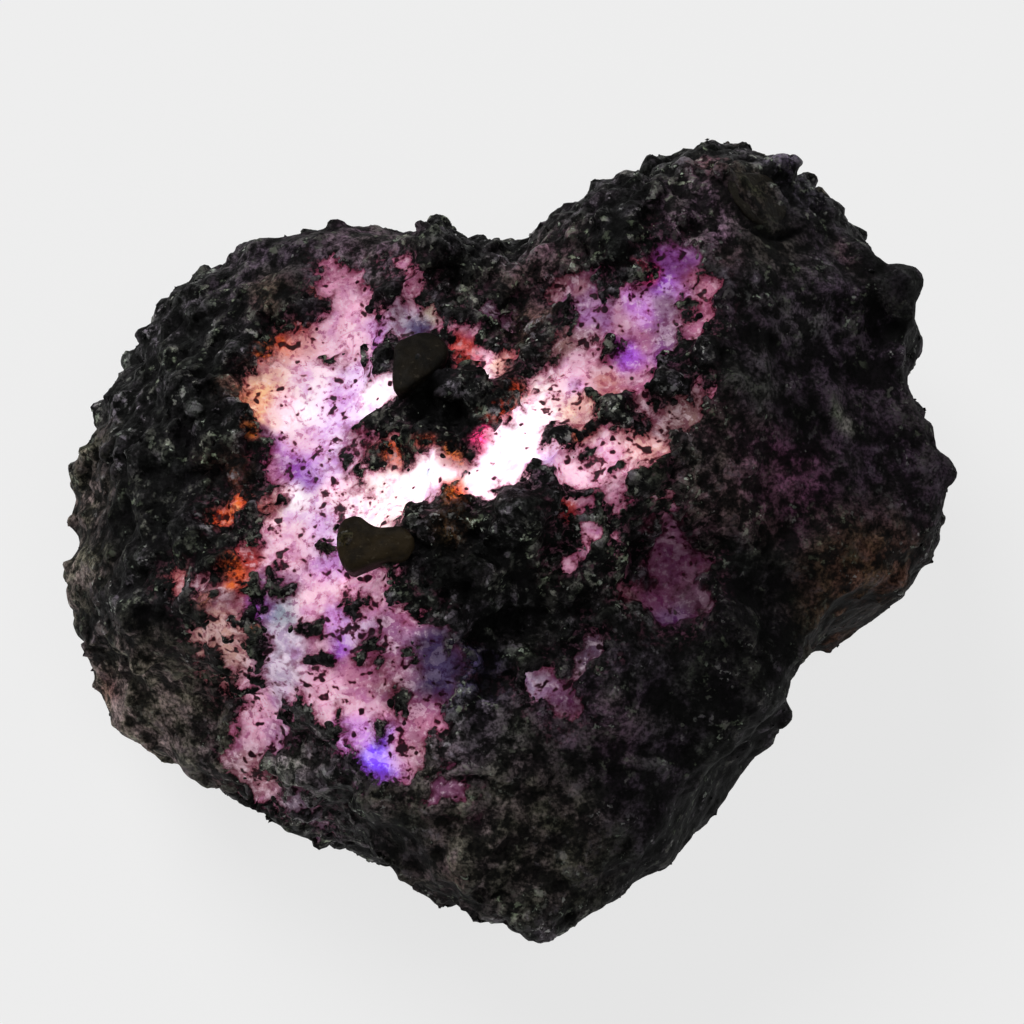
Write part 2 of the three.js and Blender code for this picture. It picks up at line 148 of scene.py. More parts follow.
# Crust left standing inside them, as chains of discs.
ISLANDS = [
    [(-3.6, 6.3, 0.75), (-3.5, 5.0, 1.1)],
    [(-6.8, 1.5, 0.26), (-6.2, 1.6, 0.34), (-5.5, 1.2, 0.3)],
    [(-6.2, 2.8, 0.3), (-5.3, 2.5, 0.65)],
    [(-8.0, 6.1, 0.1), (-7.2, 6.05, 0.18)],
    [(-6.3, -0.15, 0.2), (-5.9, -0.2, 0.22)],
    [(-2.0, 0.3, 0.28), (-2.05, -0.2, 0.2)],
    [(-10.0, -3.7, 0.22)],
    [(-9.6, -4.7, 0.42), (-9.2, -4.75, 0.25)],
    [(-7.9, -3.1, 0.25), (-7.8, -2.5, 0.15)],
    [(-6.55, -5.6, 0.34)],
    [(-4.9, -5.3, 0.35), (-4.2, -5.3, 0.4)],
    [(-8.6, -6.45, 0.3), (-7.6, -6.6, 0.28)],
    [(-8.6, -7.85, 0.3), (-7.7, -7.8, 0.25)],
    [(-5.8, -7.6, 0.3), (-5.3, -7.5, 0.22)],
    [(-3.85, -7.6, 0.25)],
    [(-3.2, -6.2, 0.3)],
    [(-7.1, -9.8, 0.2)],
    [(-8.9, -9.2, 0.3), (-8.7, -9.9, 0.4), (-8.6, -10.8, 1.0)],
    [(5.0, 10.4, 0.8), (5.4, 9.6, 0.9), (5.5, 8.9, 0.5)],
    [(7.8, 8.0, 0.15), (7.9, 7.4, 0.2)],
    [(8.35, 9.0, 0.14)],
    [(3.5, 0.95, 0.22)],
    [(4.4, -0.15, 0.2), (4.1, -0.3, 0.15)],
    [(2.5, -0.25, 0.2)],
    [(5.0, 0.45, 0.25)],
    [(3.6, -0.9, 0.16), (3.95, -1.0, 0.12)],
    [(-9.9, 8.9, 0.9), (-8.3, 9.2, 0.3)],
]

# Black knobs that stand out, inside the windows and on the crust: x, y and radius.
BOULDERS = [
    (-3.0, 10.7, 1.4), (-5.1, 8.8, 0.85), (-5.5, 5.75, 0.75), (4.8, 2.65, 1.25), (2.5, 1.75, 0.8), (1.1, -1.9, 1.35),
    (0.3, -1.1, 0.85), (2.1, -0.95, 0.9), (7.1, 4.1, 1.15), (8.3, 5.4, 1.0), (-5.2, -10.5, 0.42),
    (-4.3, -9.2, 0.5), (5.5, 9.4, 1.05), (5.0, 11.2, 1.4), (4.6, 6.1, 0.5), (17.1, 10.4, 1.45), (17.9, 9.3, 1.3), (-10.8, -5.8, 0.7),
    (-10.7, -6.9, 0.6), (-16.0, -4.8, 1.4), (-13.5, -2.7, 1.1), (-15.4, -1.2, 0.9), (-14.2, 1.1, 0.7),
    (-12.6, 2.1, 0.9), (-11.8, 3.7, 0.9), (-10.9, 6.9, 0.55), (-9.2, 8.9, 0.7), (-3.2, 1.8, 0.9), (-2.1, 1.6, 0.7),
    (-1.0, 3.0, 1.0), (-2.0, 4.4, 0.9), (-0.4, 7.5, 0.4), (0.0, 8.6, 0.7), (-1.5, 9.8, 0.7), (3.6, -3.9, 0.7),
    (0.7, -5.4, 1.0), (-0.6, -3.2, 0.8), (5.9, -0.5, 0.8), (9.9, -3.3, 0.8), (-4.0, -14.6, 1.0), (-14.6, 5.0, 1.0),
    (-13.4, 7.6, 0.8), (-15.6, 2.9, 0.8), (-11.9, 9.0, 0.6), (2.6, -5.9, 0.8), (-1.4, -6.0, 0.8), (1.6, 6.9, 0.6),
]
BOULDER_BUMPS = 7  # smaller knobs around the top of each
BOULDER_BLACK = (0.0085, 0.0085, 0.009)
# The one crisp facet beside the smooth plate: bare crystal made white and glowing, a painted reflection of the light on
# its flat face.
WHITE_FACET = [(-6.9, 4.3), (-4.85, 4.85), (-4.6, 3.85), (-6.6, 2.95)]
WIDER = 0.1  # added to the reach of every window
# Where a window's edge is clean: x, y and reach.
CLEAN = [(-5.7, 3.9, 1.1), (-5.5, -11.4, 1.1)]

# Colour of the crystal: x, y, reach, colour and how much light comes out of it, as painted glow.
TINTS = [
    (-7.6, 10.0, 0.9, PINK, 0.0), (-7.0, 8.7, 0.8, PALE_PINK, 0.15), (-6.6, 7.8, 0.7, PINK_WHITE, 0.1),
    (-5.9, 7.4, 0.4, LILAC, 0.0), (-7.6, 6.9, 0.8, (0.74, 0.43, 0.55), 0.0), (-8.3, 6.0, 0.9, (0.82, 0.50, 0.62), 0.12),
    (-8.3, 5.0, 0.9, WHITE, 0.1), (-7.4, 4.3, 0.6, LILAC, 0.3), (-7.2, 3.4, 0.8, LILAC_WHITE, 0.25),
    (-8.7, 3.7, 0.9, WHITE, 0.1), (-8.8, 2.5, 0.8, PINK_WHITE, 0.1), (-7.6, 2.4, 0.7, LILAC_WHITE, 0.2),
    (-9.6, 1.9, 0.6, LILAC, 0.0), (-8.3, 1.4, 0.6, LILAC, 0.2), (-9.2, 1.1, 0.45, VIOLET, 0.0),
    (-9.9, 1.0, 0.5, PINK, 0.0), (-8.6, 0.4, 0.5, VIOLET, 0.0), (-7.6, 0.9, 0.6, LILAC_WHITE, 0.2),
    (-10.2, 5.4, 0.8, PEACH, 0.0), (-9.7, 4.3, 0.6, PINK_WHITE, 0.1), (-10.9, 3.5, 0.8, PALE_ORANGE, 0.05),
    (-10.6, 4.6, 0.5, PALE_ORANGE, 0.0),
    (-10.3, 6.4, 0.5, SALMON, 0.0), (-9.7, 6.9, 0.3, ORANGE, 0.0), (-10.8, 1.7, 0.6, MAGENTA, 0.0),
    (-10.4, 2.5, 0.3, MAUVE, 0.0), (-8.9, 7.1, 0.5, SALMON, 0.0),
    (-5.4, 3.9, 0.9, WHITE, 0.7), (-6.7, 5.3, 0.5, LILAC_WHITE, 0.1), (-4.5, 8.6, 0.5, PINK, 0.0),
    (-4.6, 7.6, 0.5, GREY_LILAC, 0.0), (-3.9, 7.4, 0.35, DIM_VIOLET, 0.0), (-3.4, 7.9, 0.3, CREAM, 0.0),
    (-6.5, 2.5, 0.5, PINK, 0.0), (-5.1, 1.5, 0.5, SALMON, 0.0), (-4.4, 0.9, 0.4, SALMON, 0.1),
    (-7.0, 0.0, 0.8, PINK_WHITE, 0.3), (-6.8, -1.0, 0.9, WHITE, 0.2), (-5.4, -0.8, 1.1, WARM_WHITE, 0.5),
    (-4.6, -1.8, 0.7, WARM_WHITE, 0.2), (-3.6, 0.2, 0.8, WHITE, 0.9), (-3.5, 0.05, 0.2, TEAL, 0.5),
    (-0.8, 0.0, 1.0, WHITE, 1.0), (0.5, 1.1, 1.0, WHITE, 1.0), (1.3, 2.5, 1.0, WHITE, 0.8),
    (1.9, 3.6, 0.7, WARM_WHITE, 0.3), (-2.1, -0.6, 0.4, ORANGE, 0.5), (-2.7, 0.9, 0.3, SALMON, 0.0),
    (-0.9, 1.5, 0.45, HOT_PINK, 0.7), (-0.3, 2.6, 0.35, RED, 0.1), (-1.9, 0.9, 0.35, SALMON, 0.3),
    (-8.9, -1.2, 0.8, WHITE, 0.1), (-9.5, -2.2, 0.7, PINK_WHITE, 0.1), (-8.0, -1.6, 0.6, LILAC, 0.2),
    (-7.6, -2.4, 0.6, LILAC_WHITE, 0.2), (-8.8, -2.4, 0.7, PALE_PINK, 0.2), (-9.0, -3.4, 0.8, PALE_PINK, 0.25),
    (-7.6, -3.6, 0.6, LILAC, 0.15), (-8.2, -4.1, 0.5, PALE_PINK, 0.35), (-10.0, -4.4, 0.6, MAUVE, 0.25),
    (-9.0, -4.2, 0.5, MAUVE, 0.45), (-7.7, -4.8, 0.6, PINK_WHITE, 0.15), (-10.2, -5.6, 0.4, VIOLET, 0.15),
    (-9.4, -5.7, 0.5, GREY_TEAL, 0.15), (-8.2, -5.4, 0.6, PINK_WHITE, 0.15), (-6.9, -5.0, 0.5, PALE_PINK, 0.35),
    (-7.2, -6.0, 0.4, LILAC, 0.15), (-6.4, -6.5, 0.5, LILAC_WHITE, 0.15), (-6.0, -5.9, 0.4, PALE_PINK, 0.15),
    (-7.1, -7.3, 0.4, VIOLET, 0.15), (-9.2, -6.6, 0.6, GREY_LILAC, 0.15), (-9.4, -7.6, 0.8, GREY_LILAC, 0.45),
    (-8.0, -7.1, 0.5, PINK, 0.15), (-5.8, -7.0, 0.7, MAUVE, 0.25), (-5.2, -7.8, 0.8, PINK, 0.15),
    (-4.3, -7.2, 0.7, MAUVE, 0.45), (-4.2, -6.0, 0.6, PINK, 0.15), (-3.0, -8.2, 0.9, DIM_VIOLET, -0.25),
    (-8.4, -8.9, 0.7, PALE_PINK, 0.15), (-6.4, -8.7, 0.8, PINK, 0.25), (-7.3, -9.3, 0.6, PINK_WHITE, 0.15),
    (-6.3, -9.8, 0.7, PALE_PINK, 0.35), (-4.9, -8.7, 0.7, DIM_PINK, 0.15), (-5.5, -10.0, 0.6, PALE_PINK, 0.25),
    (-3.6, -10.4, 0.8, PINK, 0.15), (-4.2, -11.3, 0.5, PALE_PINK, 0.15), (-6.7, -10.6, 0.4, LILAC, 0.35),
    (-5.4, -11.2, 0.72, BLUE_VIOLET, 0.7), (-6.3, -10.8, 0.4, LILAC, 0.25), (-3.4, -11.4, 0.6, DIM_PINK, 0.35),
    (-10.9, -9.5, 0.8, PALE_PINK, 0.15), (-11.1, -11.2, 0.8, DIM_PINK, 0.3), (-9.7, -8.6, 0.5, GREY_LILAC, 0.15),
    (-10.0, -10.0, 0.5, MAUVE, 0.45), (-12.3, -6.9, 0.9, (0.52, 0.30, 0.25), -0.04), (-12.6, -4.8, 0.7, DIM_PINK, 0.2),
    (-11.5, -4.1, 0.5, ORANGE, 0.0), (-10.9, -3.1, 0.4, RED, 0.3), (-14.3, -3.9, 0.4, SALMON, 0.0),
    (-11.6, -0.95, 0.2, PALE_ORANGE, 0.4), (-11.3, -0.2, 0.3, ORANGE, 0.2), (-12.2, -1.2, 0.3, ORANGE, 0.1),
    (-10.2, -0.9, 0.4, SALMON, 0.0), (-1.6, 7.3, 0.3, PALE_PINK, 0.1), (-1.75, 6.5, 0.35, VERMILION, 0.1),
    (-0.95, 6.0, 0.35, PINK_WHITE, 0.4), (-0.4, 5.6, 0.3, PEACH, 0.3),
    (-0.95, 5.1, 0.3, WHITE, 0.6), (0.1, 6.3, 0.25, SALMON, 0.1),
    (2.6, 4.6, 0.5, PINK_WHITE, 0.1), (3.3, 4.9, 0.6, PALE_PINK, 0.1), (2.9, 4.3, 0.35, LILAC, 0.2),
    (4.5, 4.8, 0.6, SALMON, 0.05), (5.2, 5.6, 0.45, (0.34, 0.07, 0.66), 0.25), (5.6, 4.8, 0.5, PINK, 0.1),
    (4.2, 5.6, 0.4, PINK, 0.1), (5.2, 7.1, 0.5, PALE_PINK, -0.1), (3.8, 7.2, 0.6, (0.40, 0.17, 0.42), -0.2),
    (3.4, 6.4, 0.5, DIM_PINK, 0.2), (2.6, 6.1, 0.6, BROWN_PINK, 0.1), (6.7, 6.3, 0.6, MAUVE, 0.1), (6.6, 5.6, 0.4, MAGENTA_VIOLET, 0.1),
    (5.9, 6.2, 0.4, PINK, 0.0), (7.1, 8.8, 0.4, VIOLET, 0.1), (7.3, 9.9, 0.6, MAGENTA_VIOLET, -0.25), (7.6, 8.5, 0.3, LILAC, -0.1),
    (8.5, 8.4, 0.7, ROSE, 0.0), (8.3, 7.6, 0.6, ROSE, 0.0), (7.2, 7.8, 0.5, MAUVE, -0.1),
    (6.5, 9.4, 0.25, HOT_PINK, 0.3), (5.8, 7.5, 0.5, LILAC, 0.2), (3.3, 8.4, 0.7, MAUVE, 0.0),
    (3.0, 9.0, 0.4, DIM_PINK, 0.2), (2.2, 9.3, 0.5, DIM_PINK, 0.0), (2.9, 3.4, 0.6, PEACH, 0.1),
    (3.2, 1.8, 0.35, SALMON, 0.0), (1.9, 0.3, 0.45, LILAC_WHITE, 0.0), (3.1, 0.3, 0.7, PINK_WHITE, 0.3),
    (4.4, 0.3, 0.7, PINK_WHITE, 0.35), (3.7, -0.4, 0.5, PINK_WHITE, 0.2), (4.0, -1.2, 0.4, PINK, 0.0),
    (5.0, -0.8, 0.4, PINK, 0.1), (5.3, 0.9, 0.6, (0.80, 0.46, 0.44), 0.25), (6.2, 1.2, 0.5, (0.70, 0.38, 0.32), 0.15), (2.7, -1.7, 0.3, RED, 0.3),
    (6.4, 2.8, 0.6, DIM_PINK, 0.2), (7.6, 2.6, 0.7, BROWN_PINK, 0.0), (3.5, -3.1, 0.6, PALE_PINK, 0.0),
    (7.3, -3.0, 0.9, (0.13, 0.035, 0.085), -0.3), (6.6, -4.7, 0.4, (0.13, 0.02, 0.08), -0.3),
    (7.2, -5.3, 0.5, (0.08, 0.014, 0.10), -0.3),
    (5.5, -4.8, 0.35, DIM_PINK, -0.2), (8.0, -4.6, 0.6, (0.07, 0.018, 0.045), -0.3), (1.2, -8.6, 0.35, GREY_LILAC, 0.0), (1.9, -8.8, 0.5, MAUVE, 0.0),
    (2.4, -9.0, 0.6, DIM_MAGENTA, -0.1), (3.5, -7.2, 0.5, DIM_MAUVE, 0.0), (-9.0, -13.2, 0.7, DIM_MAUVE, 0.15),
    (-2.6, -12.5, 0.7, DIM_MAGENTA, 0.45), (-0.4, 8.2, 0.6, DIM_MAUVE, 0.3), (6.7, -1.0, 0.3, DIM_PINK, 0.3),
]
# Places where orange, red or pink light leaks through the crust beside a window: x, y, reach and colour.
LEAKS = [
    (-10.6, 6.6, 0.65, (0.30, 0.06, 0.015)), (-11.4, 4.6, 0.65, (0.28, 0.09, 0.06)), (-11.0, 2.6, 0.43, (0.35, 0.08, 0.01)),
    (-11.4, 1.2, 0.58, (0.10, 0.012, 0.012)), (-12.4, 1.8, 0.50, (0.05, 0.010, 0.010)), (-11.7, -0.6, 0.50, (0.40, 0.05, 0.005)),
    (-10.3, -0.8, 0.36, (0.22, 0.04, 0.03)), (-11.6, -3.7, 0.65, (0.35, 0.05, 0.01)), (-12.8, -5.2, 0.58, (0.14, 0.05, 0.04)),
    (-9.0, 7.6, 0.50, (0.22, 0.03, 0.02)), (-8.4, 9.2, 0.43, (0.10, 0.02, 0.02)), (-4.9, 1.1, 0.60, (0.42, 0.07, 0.015)),
    (-3.4, 1.5, 0.60, (0.38, 0.045, 0.010)), (-0.9, 1.6, 0.50, (0.95, 0.05, 0.25)), (-0.3, 3.0, 0.85, (0.45, 0.035, 0.010)),
    (-2.2, 0.9, 0.40, (0.60, 0.16, 0.04)),
    (0.6, 4.1, 0.70, (0.30, 0.03, 0.01)), (-1.5, 5.7, 0.65, (0.22, 0.02, 0.015)), (-2.1, -0.9, 0.43, (0.75, 0.14, 0.01)),
    (-6.4, 2.2, 0.43, (0.12, 0.01, 0.03)), (-6.0, 1.6, 0.50, (0.06, 0.008, 0.012)), (3.2, 1.7, 0.36, (0.28, 0.06, 0.03)),
    (5.9, 9.6, 0.43, (0.10, 0.01, 0.02)), (-13.0, 0.6, 0.43, (0.03, 0.006, 0.005)), (-10.6, -6.6, 0.29, (0.25, 0.07, 0.02)),
]

# ---------------------------------------------------------------- crust
CRUST = (0.0105, 0.0105, 0.0105)
# Painted shade on the steep sides, as a share of their colour.
SIDE_SHADE = 0.10  # how dark the steep sides are beside the top
# Soft patches that set the crust's colour and brightness part by part: x, y, reach, colour and strength.
CRUST_PATCHES = [
    (-1.1, -13.0, 4.2, (0.130, 0.108, 0.105), 0.9), (-1.1, 9.6, 1.9, (0.050, 0.046, 0.046), 0.9),
    (9.9, 0.4, 2.6, (0.170, 0.100, 0.110), 0.85), (2.4, 12.4, 2.4, (0.026, 0.021, 0.025), 0.9),
    (1.7, -4.9, 3.4, (0.022, 0.021, 0.019), 0.8),
    (15.5, 3.0, 5.5, (0.040, 0.027, 0.040), 1.0), (14.0, 9.0, 3.5, (0.050, 0.037, 0.052), 0.9),
    (12.3, 0.6, 2.0, (0.110, 0.040, 0.078), 0.9), (11.3, -1.4, 0.9, (0.055, 0.026, 0.034), 0.9),
    (16.3, -3.6, 3.0, (0.100, 0.052, 0.032), 1.0), (10.0, 7.0, 1.6, (0.030, 0.020, 0.028), 0.9),
    (8.8, 12.0, 1.8, (0.240, 0.150, 0.210), 0.95), (9.8, 10.2, 0.8, (0.085, 0.055, 0.060), 0.8),
    (15.1, 11.7, 0.45, (0.12, 0.080, 0.090), 0.9), (15.6, 11.0, 0.45, (0.12, 0.080, 0.090), 0.9),
    (16.1, 10.2, 0.45, (0.11, 0.080, 0.095), 0.9), (16.6, 9.3, 0.45, (0.10, 0.080, 0.095), 0.8),
    (13.3, 7.6, 1.3, (0.080, 0.070, 0.080), 0.9), (11.0, 4.4, 1.3, (0.060, 0.056, 0.058), 0.8), (12.9, 3.2, 1.3, (0.010, 0.008, 0.010), 0.8),
    (15.0, 3.5, 0.5, (0.20, 0.21, 0.17), 0.8), (11.9, 11.2, 1.5, (0.070, 0.068, 0.052), 0.8), (8.4, 13.0, 1.6, (0.034, 0.028, 0.032), 0.8),
    (9.7, 12.9, 1.3, (0.120, 0.075, 0.110), 0.9), (12.8, 15.3, 1.6, (0.100, 0.085, 0.120), 0.9),
    (9.2, 14.9, 0.9, (0.140, 0.070, 0.085), 0.9), (10.9, 13.8, 1.5, (0.046, 0.041, 0.029), 1.0),
    (9.8, 18.8, 1.0, (0.100, 0.080, 0.030), 0.8), (12.6, 18.6, 0.9, (0.100, 0.080, 0.035), 0.8),
    (14.4, 16.8, 0.8, (0.110, 0.085, 0.035), 0.8), (4.5, -10.5, 3.2, (0.052, 0.040, 0.055), 0.9),
    (1.5, -14.5, 2.8, (0.085, 0.075, 0.062), 0.9), (4.6, -10.2, 1.6, (0.080, 0.052, 0.070), 0.9),
    (7.0, -11.2, 0.9, (0.060, 0.050, 0.062), 0.8), (-1.6, -8.6, 1.4, (0.050, 0.036, 0.105), 1.0),
    (-1.2, -10.4, 1.7, (0.095, 0.080, 0.098), 0.9), (-3.0, -14.6, 2.0, (0.120, 0.098, 0.090), 0.9),
    (-2.4, -16.4, 0.8, (0.080, 0.045, 0.048), 0.8), (-6.4, 11.0, 2.4, (0.165, 0.115, 0.145), 1.0),
    (-11.0, 11.2, 2.6, (0.070, 0.056, 0.070), 1.0), (-10.4, 9.4, 1.2, (0.095, 0.060, 0.048), 0.8),
    (-3.6, 10.0, 0.9, (0.080, 0.045, 0.060), 0.6), (2.2, 10.8, 1.3, (0.150, 0.090, 0.110), 0.9), (1.2, 9.2, 1.5, (0.120, 0.070, 0.080), 0.8),
    (-17.6, -7.8, 2.4, (0.30, 0.245, 0.215), 1.0), (-15.2, -9.0, 2.4, (0.27, 0.220, 0.190), 1.0),
    (-13.8, -10.8, 1.8, (0.190, 0.160, 0.150), 0.9), (-18.0, -7.0, 0.7, (0.20, 0.08, 0.07), 0.7),
    (-19.2, -2.2, 1.5, (0.19, 0.160, 0.135), 0.95), (-19.2, 1.2, 1.5, (0.18, 0.150, 0.125), 0.95),
    (-18.8, 3.9, 1.2, (0.15, 0.125, 0.105), 0.9),
    (-9.3, -11.4, 1.5, (0.25, 0.230, 0.225), 0.9), (-7.0, -12.9, 2.0, (0.095, 0.080, 0.092), 0.9),
    (-5.2, -12.8, 1.0, (0.085, 0.075, 0.058), 0.8), (-2.2, -2.2, 0.9, (0.070, 0.034, 0.012), 0.9),
    (-6.0, -3.1, 1.7, (0.026, 0.021, 0.014), 1.0), (-6.9, -3.9, 0.8, (0.070, 0.048, 0.012), 0.9), (-2.0, -0.9, 0.5, (0.40, 0.10, 0.02), 0.8),
    (-2.4, 3.6, 2.2, (0.006, 0.006, 0.0065), 0.9), (-1.2, 4.6, 1.8, (0.006, 0.006, 0.0065), 0.9),
    (6.0, -0.2, 1.1, (0.048, 0.045, 0.034), 0.9), (8.4, 1.0, 1.3, (0.050, 0.046, 0.042), 0.8),
    (0.4, -10.4, 0.9, (0.090, 0.088, 0.080), 0.7), (1.0, 7.7, 1.0, (0.110, 0.062, 0.045), 0.7),
    (2.0, 5.9, 0.7, (0.100, 0.070, 0.055), 0.7), (4.6, 6.3, 0.5, (0.100, 0.085, 0.070), 0.9),
    (-11.9, 4.9, 0.7, (0.200, 0.095, 0.085), 0.8), (-12.4, 1.6, 0.8, (0.060, 0.020, 0.016), 0.8),
    (-11.4, 0.8, 0.6, (0.080, 0.018, 0.010), 0.8), (9.0, -6.5, 3.0, (0.012, 0.010, 0.012), 0.8),
    (10.8, -3.0, 1.4, (0.016, 0.016, 0.016), 0.7), (7.4, -3.9, 1.9, (0.052, 0.028, 0.044), 0.6),
    (2.4, -9.4, 1.2, (0.060, 0.030, 0.050), 0.7), (-12.8, -11.9, 0.9, (0.110, 0.070, 0.060), 0.7),
]
# Where the crust is worn smooth: x, y, reach and how smooth.
SMOOTH = [
    (15.0, 3.0, 7.0, 0.92), (13.5, 10.5, 4.0, 0.7), (5.0, -12.5, 6.5, 0.9), (10.0, -6.5, 4.5, 0.9),
    (-8.0, 11.8, 3.8, 0.75), (-15.5, -8.8, 4.2, 0.75), (-3.55, 5.1, 1.5, 1.0), (-3.6, 6.2, 1.0, 1.0),
    (10.9, 13.1, 1.7, 0.95), (-6.4, -3.1, 1.1, 0.6), (10.0, 9.0, 2.5, 0.6), (17.4, 10.0, 2.4, 0.9), (16.0, -4.0, 5.0, 0.9), (11.0, -12.0, 4.0, 0.9),
    (-19.5, -1.0, 3.5, 0.6), (-3.0, -15.0, 3.5, 0.75),
]
# Cracks in the crust, pressed in and darkened with painted shade, as chains of discs.
GROOVES = [
    [(10.1, 12.2, 0.05), (10.8, 11.7, 0.14), (11.6, 11.5, 0.18), (12.5, 11.8, 0.18), (13.3, 12.4, 0.10)],
    [(-7.2, -4.3, 0.05), (-6.3, -4.7, 0.15), (-5.2, -4.4, 0.15), (-4.2, -4.4, 0.05)],
]
# Where the rim is raised or pressed in: x, y, reach and height.
RESHAPED = [
    (18.9, 7.4, 1.0, -0.4), (18.2, 10.3, 1.3, 0.5), (20.2, 3.5, 0.7, -0.5), (13.4, -7.4, 0.9, -0.6), (7.5, 17.8, 1.3, -0.8), (-1.2, 13.6, 1.0, -0.6), (-19.0, -7.3, 1.2, -0.5),
    (-20.0, -0.3, 0.9, -0.5), (-10.6, -12.4, 1.0, -0.5), (-15.5, -10.6, 1.5, -0.4), (-6.1, -15.6, 1.0, -0.45),
    (-2.7, -17.1, 0.9, -0.45), (6.9, -14.6, 1.2, 0.5), (19.9, 1.9, 1.8, 0.35), (-12.0, 13.8, 2.2, 0.35),
    (-19.6, -3.3, 1.0, 0.35), (-19.3, 3.0, 1.6, 0.3), (12.9, 16.8, 0.9, -0.5), (-5.3, -15.6, 1.2, -0.3),
    (13.0, -9.0, 3.0, 0.3), (1.5, -18.0, 1.2, 0.3), (-10.0, 14.0, 1.0, -0.3),
]
# The smooth olive-brown plate that stands in the clump: its outline seen from above, and how thick it is.
PLATE = [(-4.75, 5.9), (-4.3, 6.35), (-3.6, 6.65), (-2.95, 6.5), (-2.45, 5.9), (-2.45, 5.25), (-2.95, 4.6),
         (-3.6, 4.0), (-4.3, 3.45), (-4.7, 3.5), (-4.8, 4.2), (-4.75, 5.0)]
PLATE_THICK = 0.8
# A brown lump beside the bright band, and an olive plate that lies almost flush on the right lobe.
BROWN_LUMP = [(-7.1, -2.8), (-6.9, -2.05), (-6.2, -1.9), (-5.6, -2.4), (-5.1, -2.6), (-4.2, -2.6), (-3.7, -3.3),
              (-4.1, -4.0), (-5.0, -4.0), (-5.8, -4.2), (-6.5, -4.4), (-6.95, -3.8)]
BROWN_LUMP_THICK = 1.0
OLIVE_PLATE = [(9.8, 14.1), (10.9, 14.7), (11.9, 14.8), (12.35, 14.2), (12.7, 13.1), (11.8, 12.0), (10.7, 12.1),
               (9.9, 13.2)]
OLIVE_PLATE_THICK = 0.6
# Glimpses of crystal on the sides and below: x, y, z, reach and colour.
GLIMPSES = [
    (-19.0, -4.5, 6.0, 1.1, DIM_PINK), (-13.5, 12.4, 7.5, 1.5, MAUVE), (-6.0, 14.0, 6.0, 1.0, DIM_MAGENTA),
    (6.5, 17.0, 8.0, 1.4, MAUVE), (15.5, 14.0, 7.0, 1.1, DIM_MAGENTA), (19.5, 2.5, 6.5, 1.3, DIM_VIOLET),
    (-11.5, -11.0, 2.5, 1.2, MAUVE),
    (-12.0, 4.0, 2.0, 1.4, DIM_PINK), (7.0, -9.0, 1.5, 1.5, MAUVE), (13.5, 5.0, 2.0, 1.2, DIM_PINK),
    (-17.5, 6.5, 6.5, 0.9, MAUVE), (0.5, -17.5, 7.5, 0.9, DIM_MAGENTA),
]


def mesh_arrays(mesh):
    """Vertices in the mesh's own unit, and its faces as triangles."""
    mesh.calc_loop_triangles()
    points = np.empty(len(mesh.vertices) * 3, np.float32)
    mesh.vertices.foreach_get("co", points)
    corners = np.empty(len(mesh.loop_triangles) * 3, np.int32)
    mesh.loop_triangles.foreach_get("vertices", corners)
    return points.reshape(-1, 3).astype(float), corners.reshape(-1, 3)


def new_mesh(name, points, faces):
    mesh = bpy.data.meshes.new(name)
    mesh.from_pydata(points.tolist(), [], faces.tolist())
    mesh.update()
    return mesh


def new_piece(name, points_mm, faces):
    """A mesh object from points in millimetres."""
    piece = bpy.data.objects.new(name, new_mesh(name, points_mm * MM, faces))
    bpy.context.scene.collection.objects.link(piece)
    return piece


def store(mesh, name, values):
    """Keeps a number, or a colour, for each vertex under a name."""
    values = np.asarray(values, np.float32)
    if values.ndim == 1:
        layer = mesh.attributes.new(name, "FLOAT", "POINT")
        layer.data.foreach_set("value", values)
    else:
        layer = mesh.attributes.new(name, "FLOAT_COLOR", "POINT")
        rgba = np.concatenate([values, np.ones((len(values), 1), np.float32)], 1)
        layer.data.foreach_set("color", rgba.ravel())


def unit(vectors):
    return vectors / np.maximum(np.linalg.norm(vectors, axis=-1, keepdims=True), 1e-12)


def normals_of(points, faces):
    a, b, c = points[faces[:, 0]], points[faces[:, 1]], points[faces[:, 2]]
    across = np.cross(b - a, c - a)
    total = np.zeros_like(points)
    for corner in range(3):
        np.add.at(total, faces[:, corner], across)
    return unit(total)


def smoothed(points, faces, passes, share=0.5):
    """Moves each vertex towards the middle of its neighbours."""
    pairs = np.concatenate([faces[:, [0, 1]], faces[:, [1, 2]], faces[:, [2, 0]]])
    start, end = pairs[:, 0], pairs[:, 1]
    count = np.bincount(start, minlength=len(points))[:, None]
    for _ in range(passes):
        total = np.stack([np.bincount(start, points[end, axis], len(points)) for axis in range(3)], 1)
        points = points + share * (total / count - points)
    return points


def smoothstep(low, high, x):
    t = np.clip((x - low) / (high - low), 0.0, 1.0)
    return t * t * (3.0 - 2.0 * t)


def noise_at(points, size, shift=0.0):
    """Smooth noise from -1 to 1 with lumps of about this size."""
    places = points / size + shift
    return np.array([noise.noise(p) for p in places.tolist()])


def fractal_at(points, size, octaves, shift=0.0):
    places = points / size + shift
    return np.array([noise.fractal(p, 0.8, 2.1, octaves) for p in places.tolist()])


def cells_at(points, size, shift=0.0):
    """Cells about this size: how far in from its cell's edge each place is, and the cell's own numbers.

    The first of these is from 0 to 1, and the second is the height of a plane tilted in the cell's own way.
    """
    places = points / size + shift
    found = [noise.voronoi(p) for p in places.tolist()]
    inward = np.array([distances[1] - distances[0] for distances, _ in found])
    middles = np.array([tuple(centres[0]) for _, centres in found])
    mixed = np.sin(middles @ np.array(((12.99, 39.35, 73.16), (78.23, 11.14, 52.24), (37.72, 83.16, 9.15)))) * 437.5
    own = mixed - np.floor(mixed)
    tilted = ((places - middles) * (2.0 * own - 1.0)).sum(1) * size
    return inward, own[:, 0], tilted


def warp_at(points, size, reach, shift=0.0):
    places = points / size + shift
    return reach * np.array([noise.noise_vector(p) for p in places.tolist()])


